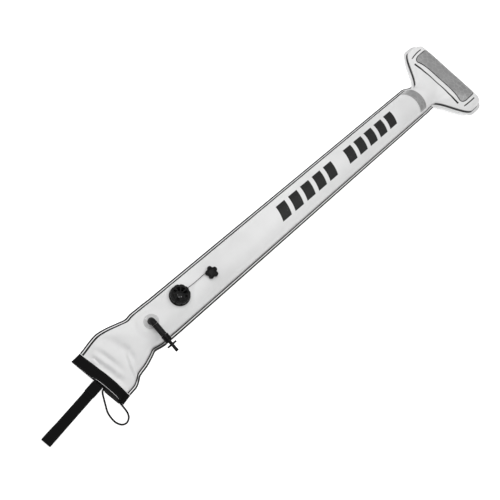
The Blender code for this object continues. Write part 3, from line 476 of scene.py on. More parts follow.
def smoothRoute(route, spacing):
    knots = [Vector(point) for point in route]
    knots = [2 * knots[0] - knots[1], *knots, 2 * knots[-1] - knots[-2]]
    points = []
    for before, start, end, after in zip(knots, knots[1:], knots[2:], knots[3:]):
        count = max(1, round((end - start).length / spacing))
        for step in range(count):
            t = step / count
            points.append(0.5 * (2 * start + (end - before) * t
                                 + (2 * before - 5 * start + 4 * end - after) * t ** 2
                                 + (3 * start - before - 3 * end + after) * t ** 3))
    points.append(knots[-2])
    return points


# A section of (radius, height) with its corners rounded
def rounded(corners, radius, count=4, closed=True):
    points = []
    for index, corner in enumerate(corners):
        here = Vector(corner)
        if not closed and index in (0, len(corners) - 1):
            points.append(here)
            continue
        back = Vector(corners[index - 1]) - here
        onward = Vector(corners[(index + 1) % len(corners)]) - here
        reach = min(radius, 0.45 * back.length, 0.45 * onward.length)
        start, end = here + back.normalized() * reach, here + onward.normalized() * reach
        for step in range(count + 1):
            t = step / count
            points.append(start.lerp(here, t).lerp(here.lerp(end, t), t))
    return points


def spun(section, closed=True, turns=96):
    bm = bmesh.new()
    verts = [bm.verts.new((point[0], 0.0, point[1])) for point in section]
    edges = [bm.edges.new(pair) for pair in zip(verts, verts[1:])]
    if closed:
        edges.append(bm.edges.new((verts[-1], verts[0])))
    bmesh.ops.spin(bm, geom=verts + edges, axis=(0.0, 0.0, 1.0), cent=(0.0, 0.0, 0.0), angle=2 * math.pi,
                   steps=turns, use_merge=True)
    return welded(bm)


def moved(bm, matrix):
    bmesh.ops.transform(bm, matrix=matrix, verts=bm.verts)
    return bm


# Shape of the envelope: x from the mouth's edge towards the head, +Y its left, as in the CAD

shape = {"length": 1.507, "tubeWidth": 0.093, "tubeHeight": 0.080, "bellyPress": 0.002, "fabric": 0.0008,
         "flange": 0.0093, "gap": 0.0003, "skinGap": 0.00045, "skirt": 0.200, "weldFade": 0.010,
         "mouthWidth": 0.156, "gape": 0.012, "lipBias": 0.75, "skew": math.radians(8.0),
         "mouthShift": -0.0116,
         "leftWeld": [(0.0, 1.0), (0.124, 1.07), (0.276, 1.29), (0.353, 1.33), (0.413, 1.20), (0.484, 0.94),
                      (0.590, 0.46), (0.672, 0.13), (0.740, 0.16), (0.840, 0.08), (1.0, 0.0)],
         "rightWeld": [(0.0, 1.0), (0.132, 0.80), (0.240, 0.72), (0.307, 0.44), (0.354, 0.19), (0.489, 0.04),
                       (0.600, -0.22), (0.665, -0.40), (0.735, -0.21), (0.800, -0.07), (1.0, 0.0)],
         "tapeWidth": 0.025, "tape": 0.0010, "lobeToCrest": 0.066, "neckToLobe": 0.105, "bandToNeck": 0.0555,
         "bandWidth": 0.032, "neckWidth": 0.0795, "headWidth": 0.2875, "headShift": -0.005,
         "lobeStraight": 0.027, "crestWidth": 0.248}
valve = {"x": 0.263, "y": 0.0062, "drop": 0.0025, "radius": 0.026}
inflator = {"x": 0.171, "y": 0.004, "drop": 0.0008, "radius": 0.018, "tilt": math.radians(9.0),
            "turn": math.radians(-1.7)}
pad = {"margin": 0.004, "blend": 0.016, "weldShare": 0.2, "past": 0.05}
gap, fabric = shape["gap"], shape["fabric"]
onWeld = 0.9999  # share of the half width from which a place is on the weld

toWorld = Vector((-shape["length"] / 2, 0.0, 0.0))
seamZ = shape["tubeHeight"] / 2
halfWeld = fabric + gap / 2
mouthSeamZ = shape["tape"] + gap + halfWeld
skirtEnd = shape["skirt"] + shape["weldFade"]
lobeX = shape["length"] - shape["lobeToCrest"]
neckX = lobeX - shape["neckToLobe"]
bandX = neckX - shape["bandToNeck"]
bandStart = bandX - shape["bandWidth"] / 2
neckStart = bandX + shape["bandWidth"] / 2
headFront = shape["length"] - shape["flange"]


def alongSkirt(x):
    return ease(x / shape["skirt"])


def alongNeck(x):
    return ease((x - neckStart) / (neckX - neckStart))


def seamHeight(x):
    return mix(mouthSeamZ, seamZ, alongSkirt(x))


# Value at t on a smooth line through the knots
def through(knots, t):
    for before, start, end, after in zip(knots[:1] + knots, knots, knots[1:], knots[2:] + knots[-1:]):
        if t <= end[0]:
            run = end[0] - start[0]
            u = (t - start[0]) / run
            leave = run * (end[1] - before[1]) / (end[0] - before[0])
            arrive = run * (after[1] - start[1]) / (after[0] - start[0])
            return mix(start[1], end[1], ease(u)) + u * (1.0 - u) * (leave * (1.0 - u) - arrive * u)
    return knots[-1][1]


def seamHalf(x, side):
    tube, neck, head = shape["tubeWidth"] / 2, shape["neckWidth"] / 2, shape["headWidth"] / 2
    if x < skirtEnd:
        flare = through(shape["leftWeld"] if side > 0 else shape["rightWeld"], x / skirtEnd)
        return mix(tube, shape["mouthWidth"] / 2 - shape["flange"], flare)
    if x < neckStart:
        return tube
    if x < neckX:
        return mix(tube, neck, alongNeck(x))
    if x < lobeX:
        return mix(neck, head, ease((x - neckX) / (lobeX - neckX)))
    corner = max(x - lobeX - shape["lobeStraight"], 0.0) / (headFront - lobeX - shape["lobeStraight"])
    return mix(shape["crestWidth"] / 2, head, math.sqrt(max(1.0 - corner * corner, 0.0)))



headLine = [Vector((x, seamHalf(x, 1))) for x in ladder(neckStart, (headFront, 0.003))]
headLine.append(Vector((headFront, 0.0)))


def seamDistance(x, across):
    here = Vector((x, abs(across)))
    return min(toLine(here, start, end)[1] for start, end in zip(headLine, headLine[1:]))


def fullness(x, across, lean):
    v = min(abs(across) / seamHalf(x, across), 1.0)
    if v > onWeld:
        return 0.0
    roundSection = math.sqrt(1.0 - v * v)
    if x > neckStart:
        depth = min(seamDistance(x, across) / (shape["tubeWidth"] / 2), 1.0)
        pillow = math.sqrt(max(1.0 - (1.0 - depth) ** 2, 0.0))
        return mix(roundSection, pillow, alongNeck(x))
    lipSection = (1.0 - v * v) * (1.0 - lean * math.copysign(v, across))
    return mix(lipSection, roundSection, ease(x / (shape["skirt"] / 2)))


# A place on the flat envelope, turned and shifted as the mouth and the head are
def skewed(x, across, z):
    loose = 1.0 - alongSkirt(x)
    turn = shape["skew"] * loose
    y = shape["mouthShift"] * loose + shape["headShift"] * alongNeck(x) + math.cos(turn) * across
    return Vector((x - math.sin(turn) * across, y, z))


def crown(x):
    return mix(shape["gape"], shape["tubeHeight"] - seamZ - halfWeld, alongSkirt(x))


valve["z"] = shape["tubeHeight"] - valve["drop"]
inflator["z"] = seamHeight(inflator["x"]) + halfWeld + crown(inflator["x"]) - inflator["drop"]


def flattened(point, piece, slope, hold):
    away = math.hypot(point.x - piece["x"], point.y - piece["y"]) - piece["radius"] - pad["margin"]
    flat = piece["z"] + slope * (point.x - piece["x"])
    point.z = mix(point.z, flat, hold * (1.0 - ease(away / pad["blend"])))


# The upper lip is drawn in where it gapes, and the lower one pushed out
lips = {"draw": (0.0042, -0.027, 0.050), "push": (0.0048, -0.049, 0.036), "reach": 0.030}


def lipShift(x, across, way):
    most, middle, half = lips[way]
    return most * ease(2.0 - 2.0 * abs(across - middle) / half) * (1.0 - ease(x / lips["reach"]))


def frontPoint(x, across):
    point = skewed(x, across, seamHeight(x) + halfWeld + crown(x) * fullness(x, across, shape["lipBias"]))
    point.x += lipShift(x, across, "draw")
    if x < valve["x"] + pad["past"]:
        hold = ease((1.0 - abs(across) / seamHalf(x, across)) / pad["weldShare"])
        flattened(point, valve, 0.0, hold)
        flattened(point, inflator, math.tan(inflator["tilt"]), hold)
    return point


def floorUnder(x):
    return (shape["tape"] + gap) * (1.0 - ease(x / shape["tapeWidth"] - 1.0))


def backPoint(x, across):
    deep = mix(0.0, seamZ - halfWeld + shape["bellyPress"], alongSkirt(x))
    z = seamHeight(x) - halfWeld - deep * fullness(x, across, 0.0)
    point = skewed(x, across, max(z, floorUnder(x)))
    point.x -= lipShift(x, across, "push")
    return point


# Folds from one place to another as (x, across), with the height and the half width of each

skirtFolds = [
    ((0.030, 0.057), (0.032, 0.020), -0.0062, 0.0095), ((0.032, 0.020), (0.032, -0.021), -0.0070, 0.0105),
    ((0.032, -0.021), (0.036, -0.044), -0.0058, 0.0090), ((0.044, 0.054), (0.046, 0.000), 0.0034, 0.0065),
    ((0.046, 0.000), (0.050, -0.030), 0.0022, 0.0065), ((0.052, 0.050), (0.053, 0.001), -0.0044, 0.0065),
    ((0.053, 0.001), (0.052, -0.032), -0.0020, 0.0065), ((0.062, 0.058), (0.066, -0.010), 0.0030, 0.0080),
    ((0.082, 0.054), (0.089, 0.020), -0.0042, 0.0095), ((0.089, 0.020), (0.090, -0.008), -0.0062, 0.0100),
    ((0.090, -0.008), (0.085, -0.030), -0.0046, 0.0085), ((0.088, -0.004), (0.076, -0.030), 0.0036, 0.0045),
    ((0.076, -0.030), (0.064, -0.062), 0.0036, 0.0045), ((0.083, 0.000), (0.072, -0.024), -0.0036, 0.0045),
    ((0.072, -0.024), (0.058, -0.058), -0.0036, 0.0045), ((0.105, 0.044), (0.125, 0.006), 0.0012, 0.0080),
    ((0.070, 0.070), (0.088, 0.052), -0.0024, 0.0060), ((0.052, 0.070), (0.060, 0.056), 0.0020, 0.0060)]
neckFolds = [
    ((1.341, 0.038), (1.391, 0.052), -0.0012, 0.0050), ((1.347, 0.040), (1.415, 0.080), 0.0012, 0.0060),
    ((1.341, -0.038), (1.391, -0.052), -0.0012, 0.0050), ((1.347, -0.040), (1.415, -0.080), 0.0012, 0.0060),
    ((1.353, 0.030), (1.375, 0.012), -0.0008, 0.0060), ((1.353, -0.030), (1.379, -0.010), -0.0008, 0.0060)]
crease = {"endHeight": 0.35, "endShare": 0.3, "cut": 3, "backSpread": -0.8, "mouthFade": 0.03}
pucker = {"depth": 0.0006, "reach": 0.010, "rate": 62.0, "wave": 0.0005, "waveRate": (7.0, 18.0),
          "seeds": (3.7, 5.1, 2.3), "weldHold": 0.003, "fittingHold": 0.012}


def foldHeight(folds, x, across):
    here, total = Vector((x, across)), 0.0
    for start, end, height, width in folds:
        share, away = toLine(here, Vector(start), Vector(end))
        if away < crease["cut"] * width:
            fade = mix(crease["endHeight"], 1.0, ease(min(share, 1.0 - share) / crease["endShare"]))
            total += height * fade * math.exp(-(away / width) ** 2)
    return total


# Height of the puckers along the welds, slow waves and folds, held down at the welds and round the fittings
def wrinkle(x, across, side):
    p = pucker
    edgeSeed, sideSeed, waveSeed = p["seeds"]
    room = seamDistance(x, across) if x > neckX else max(seamHalf(x, across) - abs(across), 0.0)
    held = ease(room / p["weldHold"])
    ripple = noise.noise(Vector((x * p["rate"], math.copysign(edgeSeed, across), side * sideSeed)))
    height = p["depth"] * ripple * math.exp(-room / p["reach"])
    longRate, crossRate = p["waveRate"]
    height += p["wave"] * noise.noise(Vector((x * longRate, across * crossRate, side * waveSeed)))
    if x < skirtEnd:
        spread = across if side > 0 else crease["backSpread"] * across
        height += foldHeight(skirtFolds, x, spread) * ease(x / crease["mouthFade"])
    if x > neckStart:
        height += foldHeight(neckFolds, x, across)
    if side > 0:
        for piece in (valve, inflator):
            away = math.hypot(x - piece["x"], across - piece["y"]) - piece["radius"]
            held *= ease(away / p["fittingHold"])
    return height * held


slopeStep = 0.0007  # to the neighbours that give the slope of the surface


# A point on the wrinkled fabric, or on its flat welded edge, lifted off its outer face
def skin(side, x, across, lift=0.0):
    flat = frontPoint if side > 0 else backPoint
    half = seamHalf(x, across)
    if abs(across) >= half * onWeld:
        edge = skewed(x, across, flat(x, math.copysign(half, across)).z)
        return edge + Vector((0.0, 0.0, side * lift))
    lengthways = flat(x + slopeStep, across) - flat(x - slopeStep, across)
    high = min(across + slopeStep, seamHalf(x, 1) * onWeld)
    low = max(across - slopeStep, -seamHalf(x, -1) * onWeld)
    normal = lengthways.cross(flat(x, high) - flat(x, low)).normalized() * side
    point = flat(x, across) + normal * (wrinkle(x, across, side) + lift)
    if side < 0:
        point.z = max(point.z, floorUnder(x))
    return point


def weldToWeld(x, count, reach=1.0):
    values = [-math.cos(math.pi * step / count) * reach for step in range(count + 1)]
    return [v * seamHalf(x, v) for v in values]


# Rows of fabric from edge to edge, with their lay: along, across the surface, and in from the weld
def fabricRows(line, side, count):
    rows, lays = [], []
    for x in line:
        spots = weldToWeld(x, count)
        spots = [spots[0] - shape["flange"], *spots, spots[-1] + shape["flange"]]
        row = [skin(side, x, across) + toWorld for across in spots]
        reach = lengths(row)
        middle = reach[-1] / 2
        weld = []
        for across in spots:
            room = seamHalf(x, across) - abs(across)
            weld.append(seamDistance(x, across) if x > neckX and room >= 0.0 else room)
        rows.append(row)
        lays.append([(x, r - middle, w) for r, w in zip(reach, weld)])
    return rows, lays


# Opens the fabric under a fitting, with a round edge
def openHole(bm, piece, radius):
    centre = Vector((piece["x"], piece["y"])) + toWorld.to_2d()
    near = [vert for vert in bm.verts if (vert.co.to_2d() - centre).length < radius]
    gone = {face for vert in near for face in vert.link_faces}
    bmesh.ops.delete(bm, geom=list(gone), context="FACES")
    for vert in bm.verts:
        away = vert.co.to_2d() - centre
        if vert.is_boundary and away.length < 2 * radius:
            vert.co.xy = centre + away.normalized() * radius


tubeMesh = {"skirtStep": 0.0026, "fittingStep": 0.0028, "step": 0.0048, "finePast": 0.048, "frontColumns": 44,
            "backColumns": 40, "valveHole": 0.0195, "inflatorHole": 0.0070}
headMesh = {"step": 0.0040, "frontReach": 0.050, "frontRows": 16, "columns": 64}


def panel(name, bm, side, finish, *nodes):
    return thicken(addPiece(name, bm, finish, nodes), fabric, -side, even=False)


def buildTube():
    t = tubeMesh
    line = ladder(0.0, (skirtEnd, t["skirtStep"]), (valve["x"] + t["finePast"], t["fittingStep"]),
                  (bandX - gap / 2, t["step"]))
    front = gridOf(*fabricRows(line, 1, t["frontColumns"]))
    openHole(front, valve, t["valveHole"])
    openHole(front, inflator, t["inflatorHole"])
    back = gridOf(*fabricRows(line, -1, t["backColumns"]))
    return (panel("tubeFront", front, 1, fabricFront, "mouth_front_panel", "tube_front_panel"),
            panel("tubeBack", back, -1, fabricBack, "mouth_back_panel", "tube_back_panel"))


def buildHead():
    h = headMesh
    near = [headFront - h["frontReach"] * (1.0 - share) ** 2 for share in spaced(0.0, 1.0, h["frontRows"])]
    line = [bandX + gap / 2, *ladder(neckStart, (near[0], h["step"])), *near[1:]]
    pieces = []
    for name, side, finish, node in (("headFront", 1, fabricHead, "head_front_panel"),
                                     ("headBack", -1, fabricPlain, "head_back_panel")):
        rows, lays = fabricRows(line, side, h["columns"])
        crest = [Vector((shape["length"] + toWorld.x, point.y, point.z)) for point in rows[-1]]
        crestLay = [(shape["length"], lay[1], -shape["flange"]) for lay in lays[-1]]
        pieces.append(panel(name, gridOf([*rows, crest], [*lays, crestLay]), side, finish, node))
    return pieces


tubeFront, tubeBack = buildTube()
headFrontPiece, headBackPiece = buildHead()
print("envelope built")


# Folded binding on the welded edges

binding = {"wall": 0.0007, "setback": 0.0014, "start": 0.027, "fold": 4, "faceSteps": 8, "skirtStep": 0.0026,
           "step": 0.0060}


def bindingRow(x, side):
    b = binding
    inner = seamHalf(x, side) + b["setback"]
    outer = seamHalf(x, side) + shape["flange"] + gap
    top, bottom = seamHeight(x) + halfWeld + gap, seamHeight(x) - halfWeld - gap
    middle, reach = (top + bottom) / 2, (top - bottom) / 2
    face = spaced(inner, outer - reach, b["faceSteps"])
    spots = [(across, top) for across in face]
    for step in range(1, b["fold"] * 2):
        angle = math.pi / 2 - math.pi * step / (b["fold"] * 2)
        spots.append((outer - reach + reach * math.cos(angle), middle + reach * math.sin(angle)))
    spots += [(across, bottom) for across in reversed(face)]
    row = [skewed(x, side * across, z) + toWorld for across, z in spots]
    return row, [(x, length, 0.0) for length in lengths(row)]


def buildBindings():
    line = ladder(binding["start"], (skirtEnd, binding["skirtStep"]), (neckX, binding["step"]))
    pieces = []
    for name, side, node in (("leftBinding", 1, "left_edge_binding"),
                             ("rightBinding", -1, "right_edge_binding")):
        rows, lays = zip(*(bindingRow(x, side) for x in line))
        piece = addPiece(name, gridOf(rows, lays), edgeBinding, [node])
        pieces.append(thicken(piece, binding["wall"], side))
    return pieces


bindings = buildBindings()


# Reflective band over the joint, weld strip inside it, and the panel on the head

band = {"reach": 0.90, "thickness": 0.0005, "columns": 48, "step": 0.0025}
headPanel = {"back": 1.408, "front": 1.477, "half": 0.108, "corner": 0.020, "rows": 26, "columns": 64}


def patch(name, lines, side, lift, thickness, finish, node):
    rows, lays = [], []
    for x, spots, edges in lines:
        rows.append([skin(side, x, across, lift) + toWorld for across in spots])
        lays.append([(x, across, edge) for across, edge in zip(spots, edges)])
    return thicken(addPiece(name, gridOf(rows, lays), finish, [node]), thickness, 1.0)


def buildPatches():
    lines = []
    for x in ladder(bandStart, (neckStart, band["step"])):
        spots = weldToWeld(x, band["columns"], band["reach"])
        lines.append((x, spots, [1.0] * len(spots)))
    front = patch("reflectiveBand", lines, 1, shape["skinGap"], band["thickness"], reflectiveGrey,
                  "front_reflective_band")
    inside = patch("weldStrip", lines, -1, -fabric - 2 * shape["skinGap"], fabric / 2,
                   fabricPlain, "back_weld_strip")
    p, lines = headPanel, []
    for step in range(p["rows"] + 1):
        x = mix(p["back"], p["front"], (1.0 - math.cos(math.pi * step / p["rows"])) / 2)
        end = min(x - p["back"], p["front"] - x)
        inset = max(p["corner"] - end, 0.0)
        half = p["half"] - p["corner"] + math.sqrt(max(p["corner"] ** 2 - inset ** 2, 0.0))
        spots = spaced(-half, half, p["columns"])
        lines.append((x, spots, [min(end, half - abs(across)) for across in spots]))
    onHead = patch("headPanel", lines, 1, shape["skinGap"], band["thickness"], reflectiveGrey,
                   "head_reflective_panel")
    return front, inside, onHead


bandPiece, weldStrip, headPanelPiece = buildPatches()


# Tapes on the lips, and the film flaps of the baffle

tape = {"step": 0.0021, "columns": 44, "edge": 0.00025}


def buildTapes():
    line = ladder(0.0, (shape["tapeWidth"], tape["step"]))
    pieces = []
    for name, side, node in (("frontTape", 1, "front_mouth_tape"), ("backTape", -1, "back_mouth_tape")):
        rows, lays = fabricRows(line, side, tape["columns"])
        lift = Vector((0.0, 0.0, side * gap))
        rows = [[point + lift for point in row] for row in rows]
        lays = [[(across, along, weld) for along, across, weld in row] for row in lays]
        piece = addPiece(name, gridOf(rows, lays), tapeWebbing, [node])
        pieces.append(roundEdges(thicken(piece, shape["tape"], side), tape["edge"]))
    return pieces


flap = {"root": 0.046, "length": 0.066, "width": 0.046, "thickness": 0.0006, "steps": 18, "opens": 0.120}


# Each flap hangs from its lip to where the two meet, with room to open towards the fabric
def buildFlaps():
    f, pieces = flap, []
    for name, side, node, body in (("frontFlap", 1, "front_baffle_flap", "front_flap"),
                                   ("backFlap", -1, "back_baffle_flap", "back_flap")):
        surface, inner = (frontPoint, min) if side > 0 else (backPoint, max)
        under = side * (fabric + 2 * gap)
        meeting = seamHeight(f["root"] + f["length"]) + side * (f["thickness"] + gap)
        spots = spaced(-f["width"] / 2, f["width"] / 2, f["steps"])
        rows, lays = [], []
        for share in spaced(0.0, 1.0, f["steps"]):
            x = f["root"] + f["length"] * share
            row = []
            for across in spots:
                hung = mix(surface(f["root"], across).z - under, meeting, ease(share))
                free = skin(side, x, across).z - under - side * f["opens"] * (x - f["root"])
                row.append(skewed(x, across, inner(hung, free)) + toWorld)
            rows.append(row)
            lays.append([(x, across, 0.0) for across in spots])
        piece = addPiece(name, gridOf(rows, lays), milkyFilm, [node], body)
        pieces.append(thicken(piece, f["thickness"], -side))
    return pieces


lipHighlight = {"radius": 0.0006, "start": 0.010, "end": -0.064, "steps": 48, "sides": 10, "out": 0.0003,
           "tip": 0.3, "taper": 8}


# Thin pale strip along the upper lip, a painted highlight on the lip's lower edge
def buildLipHighlight():
    e = lipHighlight
    offset = Vector((-e["out"], 0.0, -fabric / 2))
    points = [skin(1, 0.0, across) + toWorld + offset for across in spaced(e["start"], e["end"], e["steps"])]
    ends = [min(step, e["steps"] - step) for step in range(e["steps"] + 1)]
    radii = [e["radius"] * mix(e["tip"], 1.0, ease(end / e["taper"])) for end in ends]
    addPiece("lipHighlight", tubeAlong(points, radii, e["sides"]), fabricPlain, [])


tapes = buildTapes()
buildLipHighlight()
flaps = buildFlaps()
print("tapes, patches and flaps built")


# Strap, keeper and cord loop, in the mouth's own frame: x inwards, y to the left

mouthFrame = (Matrix.Translation(Vector((toWorld.x, shape["mouthShift"], 0.0)))
              @ Matrix.Rotation(shape["skew"], 4, "Z"))
strap = {"width": 0.025, "length": 0.166, "shift": -0.003, "layer": 0.0015, "eye": 0.0065,
         "eyeStraight": 0.012, "eyeTaper": 0.034, "tail": 0.020, "slope": 0.014, "hinge": 0.0006,
         "wall": 0.0013, "spacing": 0.0022, "columns": 14, "bendSteps": 8, "tailSteps": 10, "edge": 0.0003}
keeper = {"wall": 0.0012, "length": 0.028, "setback": 0.002, "corner": 0.0016, "cornerSteps": 5,
          "columns": 12}


def ribbon(name, path, spread, wall, finish, body, node, lengthways, closed=False):
    rows, lays = [], []
    for point, length in zip(path, lengths(path)):
        rows.append([mouthFrame @ (point + offset) for offset in spread])
        lays.append([(length, lengthways.dot(offset), 0.0) for offset in spread])
    bm = gridOf(rows, lays)
    if closed:
        welded(bm)
    piece = addPiece(name, bm, finish, [node], body, 60.0)
    roundEdges(thicken(piece, wall, 0.0), strap["edge"])


def buildStrap():
    s, k = strap, keeper
    half, layer = s["width"] / 2, s["layer"]
    low = k["wall"] + gap
    keeperStart = -k["setback"] - k["length"]
    keeperEnd = keeperStart - 2 * gap
    floorStart = keeperEnd - s["slope"]
    eyeHeight = s["eye"] + 2 * layer
    eyeEnd = -s["length"] + eyeHeight / 2
    eyeStart = eyeEnd + s["eyeStraight"]
    eyeTip = eyeStart + s["eyeTaper"]
    eyeTop, eyeBend = eyeHeight - layer / 2, (eyeHeight - layer) / 2

    # The lower layer leaves the keeper for the floor, turns back round the eye and lies on itself
    lower = [(-s["hinge"], low + layer / 2), (keeperEnd + 0.004, low + layer / 2),
             (keeperEnd - 0.002, low + layer * 0.4), (floorStart + 0.003, layer * 0.62),
             (floorStart - 0.004, layer / 2), (eyeTip, layer / 2)]
    bend = [(eyeEnd - eyeBend * math.sin(angle), eyeHeight / 2 - eyeBend * math.cos(angle))
            for angle in spaced(0.0, math.pi, s["bendSteps"])]
    taper = [(eyeStart, eyeTop), (mix(eyeStart, eyeTip, 0.5), mix(eyeTop, layer * 1.5, 0.5))]
    upper = [(x, z + layer) for x, z in reversed(lower)]
    path = smoothRoute([(x, s["shift"], z) for x, z in [*lower, *bend, *taper, *upper]], s["spacing"])
    across, inwards = Vector((0.0, 1.0, 0.0)), Vector((1.0, 0.0, 0.0))
    spread = [across * spot for spot in spaced(-half, half, s["columns"])]
    ribbon("strapWeb", path, spread, s["wall"], strapWebbing, "strap", "strap", across)

    tailZ = mouthSeamZ + gap / 2 + layer / 2
    tailPath = [Vector((gap + x, s["shift"], tailZ)) for x in spaced(0.0, s["tail"], s["tailSteps"])]
    ribbon("strapTail", tailPath, spread, s["wall"], strapWebbing, "envelope", "strap_tail", across)

    bottom, top = k["wall"] / 2, low + 2 * layer + gap + k["wall"] / 2
    wide = half + gap + k["wall"] / 2
    corners = [(-wide, bottom), (wide, bottom), (wide, top), (-wide, top)]
    sleeve = rounded(corners, k["corner"], k["cornerSteps"])
    sleeve = [Vector((0.0, point[0] + s["shift"], point[1])) for point in [*sleeve, sleeve[0]]]
    keeperSpread = [inwards * x for x in spaced(keeperStart, keeperStart + k["length"], k["columns"])]
    ribbon("strapKeeper", sleeve, keeperSpread, k["wall"], keeperWebbing, "strap", "strap_keeper", inwards,
           closed=True)


buildStrap()

loop = {"diameter": 0.0040, "sides": 16, "spacing": 0.0022,
        "route": [(0.0110, -0.0205, 0.00435), (0.0030, -0.0204, 0.00435), (-0.0025, -0.0206, 0.0042),
                  (-0.0075, -0.0226, 0.0030), (-0.0140, -0.0307, 0.0021), (-0.0250, -0.0470, 0.0021),
                  (-0.0340, -0.0610, 0.0021), (-0.0385, -0.0750, 0.0021), (-0.0400, -0.0910, 0.0021),
                  (-0.0350, -0.1050, 0.0021), (-0.0250, -0.1105, 0.0021), (-0.0140, -0.1065, 0.0021),
                  (-0.0078, -0.0975, 0.0021), (-0.0050, -0.0880, 0.0024), (-0.0034, -0.0795, 0.0034),
                  (-0.0022, -0.0715, 0.0045), (0.0010, -0.0630, 0.0046), (0.0068, -0.0555, 0.00435)]}


def pathLength(points):
    return lengths(points)[-1]


# A cord along its route, and the points of its path
def routed(name, cord, base, finish, node, body="envelope"):
    points = [base @ point for point in smoothRoute(cord["route"], cord["spacing"])]
    bm = tubeAlong(points, [cord["diameter"] / 2] * len(points), cord["sides"])
    return addPiece(name, bm, finish, [node], body), points


def buildLoop():
    piece, points = routed("cordLoop", loop, mouthFrame, loopCord, "cord_loop")
    pathLength(points)


buildLoop()
print("strap and loop built")


# Dump valve, in a frame on the fabric's outer face

valveFrame = Matrix.Translation(Vector((valve["x"], valve["y"], valve["z"])) + toWorld)
ring = {"bore": 0.0183, "radius": 0.026, "low": 0.0003, "top": 0.0053, "shoulder": (0.0012, 0.0016),
        "corner": 0.0006}
cap = {"radius": 0.0245, "low": 0.0056, "top": 0.0170, "wall": 0.0024, "edge": 0.00035, "columns": 192,
       "scallops": 10, "scallopDepth": 0.0015, "scallopRise": 0.003, "vents": 8, "ventInner": 0.0066,
       "ventOuter": 0.0176, "ventRows": 10, "ventDrop": 0.0008, "spokeColumns": 6,
       "hub": [(0.0, 0.0), (0.0018, 0.0), (0.0034, 0.0001), (0.0042, 0.0005), (0.0052, 0.0008)],
       "rim": [(0.0186, 0.0008), (0.0192, 0.0003), (0.0200, 0.0), (0.0222, 0.0)], "rimDrop": 0.0023,
       "rimTurn": (0.4, 0.8, 1.2, math.pi / 2), "side": (0.0130, 0.0112, 0.0094, 0.0076)}
knob = {"x": 0.0993, "y": -0.008, "low": 0.0031, "radius": 0.0165, "lobes": 5, "lobeSteps": 24,
        "depth": 0.0042, "notch": 4, "turn": math.radians(150.0), "height": 0.009, "rim": 0.0020,
        "rimSteps": 5, "sharp": 35.0, "dish": [(0.0016, -0.0007), (0.0012, 0.0004)]}


# A turned piece: its section of (radius, height) spun in a frame
def turned(name, section, base, finish, node, body="envelope", closed=True):
    addPiece(name, moved(spun(section, closed), base), finish, [node], body)


def buildRing():
    r = ring
    inwards, down = r["shoulder"]
    section = rounded([(r["radius"] - inwards, r["top"]), (r["radius"], r["top"] - down),
                       (r["radius"], r["low"]), (r["bore"], r["low"]), (r["bore"], r["top"])], r["corner"])
    turned("valveRing", section, valveFrame, blackPlastic, "valve_ring")


def buildCap():
    c = cap
    vents = [(radius, c["ventDrop"]) for radius in spaced(c["ventInner"], c["ventOuter"], c["ventRows"])]
    rings = [(radius, c["top"] - drop) for radius, drop in [*c["hub"], *vents, *c["rim"]]]
    flat, turnZ = c["rim"][-1][0], c["top"] - c["rimDrop"]
    rings += [(flat + (c["radius"] - flat) * math.sin(a), turnZ + c["rimDrop"] * math.cos(a))
              for a in c["rimTurn"]]
    rings += [(c["radius"], z) for z in c["side"]]
    rings += [(c["radius"] - 0.0001, c["low"] + 0.0006), (c["radius"] - 0.0006, c["low"])]
    bm = spun(rings, closed=False, turns=c["columns"])
    scallopStart = c["rim"][-2][0]
    for vert in bm.verts:
        radius = math.hypot(vert.co.x, vert.co.y)
        if radius > scallopStart:
            angle = math.atan2(vert.co.y, vert.co.x)
            groove = max(0.0, -math.cos(c["scallops"] * angle)) ** 1.5
            depth = c["scallopDepth"] * groove * ease((radius - scallopStart) / c["scallopRise"])
            vert.co.x *= (radius - depth) / radius
            vert.co.y *= (radius - depth) / radius
    perVent = c["columns"] // c["vents"]
    gone = []
    for face in bm.faces:
        middle = face.calc_center_median()
        radius = math.hypot(middle.x, middle.y)
        column = math.floor((math.atan2(middle.y, middle.x) / (2 * math.pi) % 1.0) * c["columns"])
        spoke = (column + c["spokeColumns"] // 2) % perVent < c["spokeColumns"]
        if c["ventInner"] < radius < c["ventOuter"] and not spoke:
            gone.append(face)
    bmesh.ops.delete(bm, geom=gone, context="FACES")
    piece = addPiece("valveCap", moved(bm, valveFrame), blackPlastic, ["valve_cap"])
    roundEdges(thicken(piece, c["wall"], -1.0), c["edge"])


def buildKnob():
    k = knob
    bm = bmesh.new()
    sides = k["lobeSteps"] * k["lobes"]
    made = bmesh.ops.create_circle(bm, cap_ends=True, segments=sides, radius=1.0)["verts"]
    for vert in made:
        angle = math.atan2(vert.co.y, vert.co.x)
        radius = k["radius"] - k["depth"] * math.sin(k["lobes"] * (angle - k["turn"]) / 2) ** k["notch"]
        vert.co = (radius * math.cos(angle), radius * math.sin(angle), 0.0)
    grown = bmesh.ops.extrude_face_region(bm, geom=bm.faces[:])["geom"]
    raised = [item for item in grown if isinstance(item, bmesh.types.BMVert)]
    bmesh.ops.translate(bm, verts=raised, vec=(0.0, 0.0, k["height"]))
    bmesh.ops.recalc_face_normals(bm, faces=bm.faces)
    rims = [edge for edge in bm.edges if edge.calc_face_angle(0.0) > 1.0]
    bmesh.ops.bevel(bm, geom=rims, offset=k["rim"], affect="EDGES", segments=k["rimSteps"], profile=0.5,
                    material=-1)
    top = max(bm.faces, key=lambda face: face.calc_center_median().z)
    for thickness, depth in k["dish"]:
        bmesh.ops.inset_region(bm, faces=[top], thickness=thickness, depth=depth)
    moved(bm, valveFrame @ Matrix.Translation((k["x"], k["y"], k["low"])))
    return addPiece("pullKnob", bm, blackPlastic, ["pull_knob"], "pull", k["sharp"])


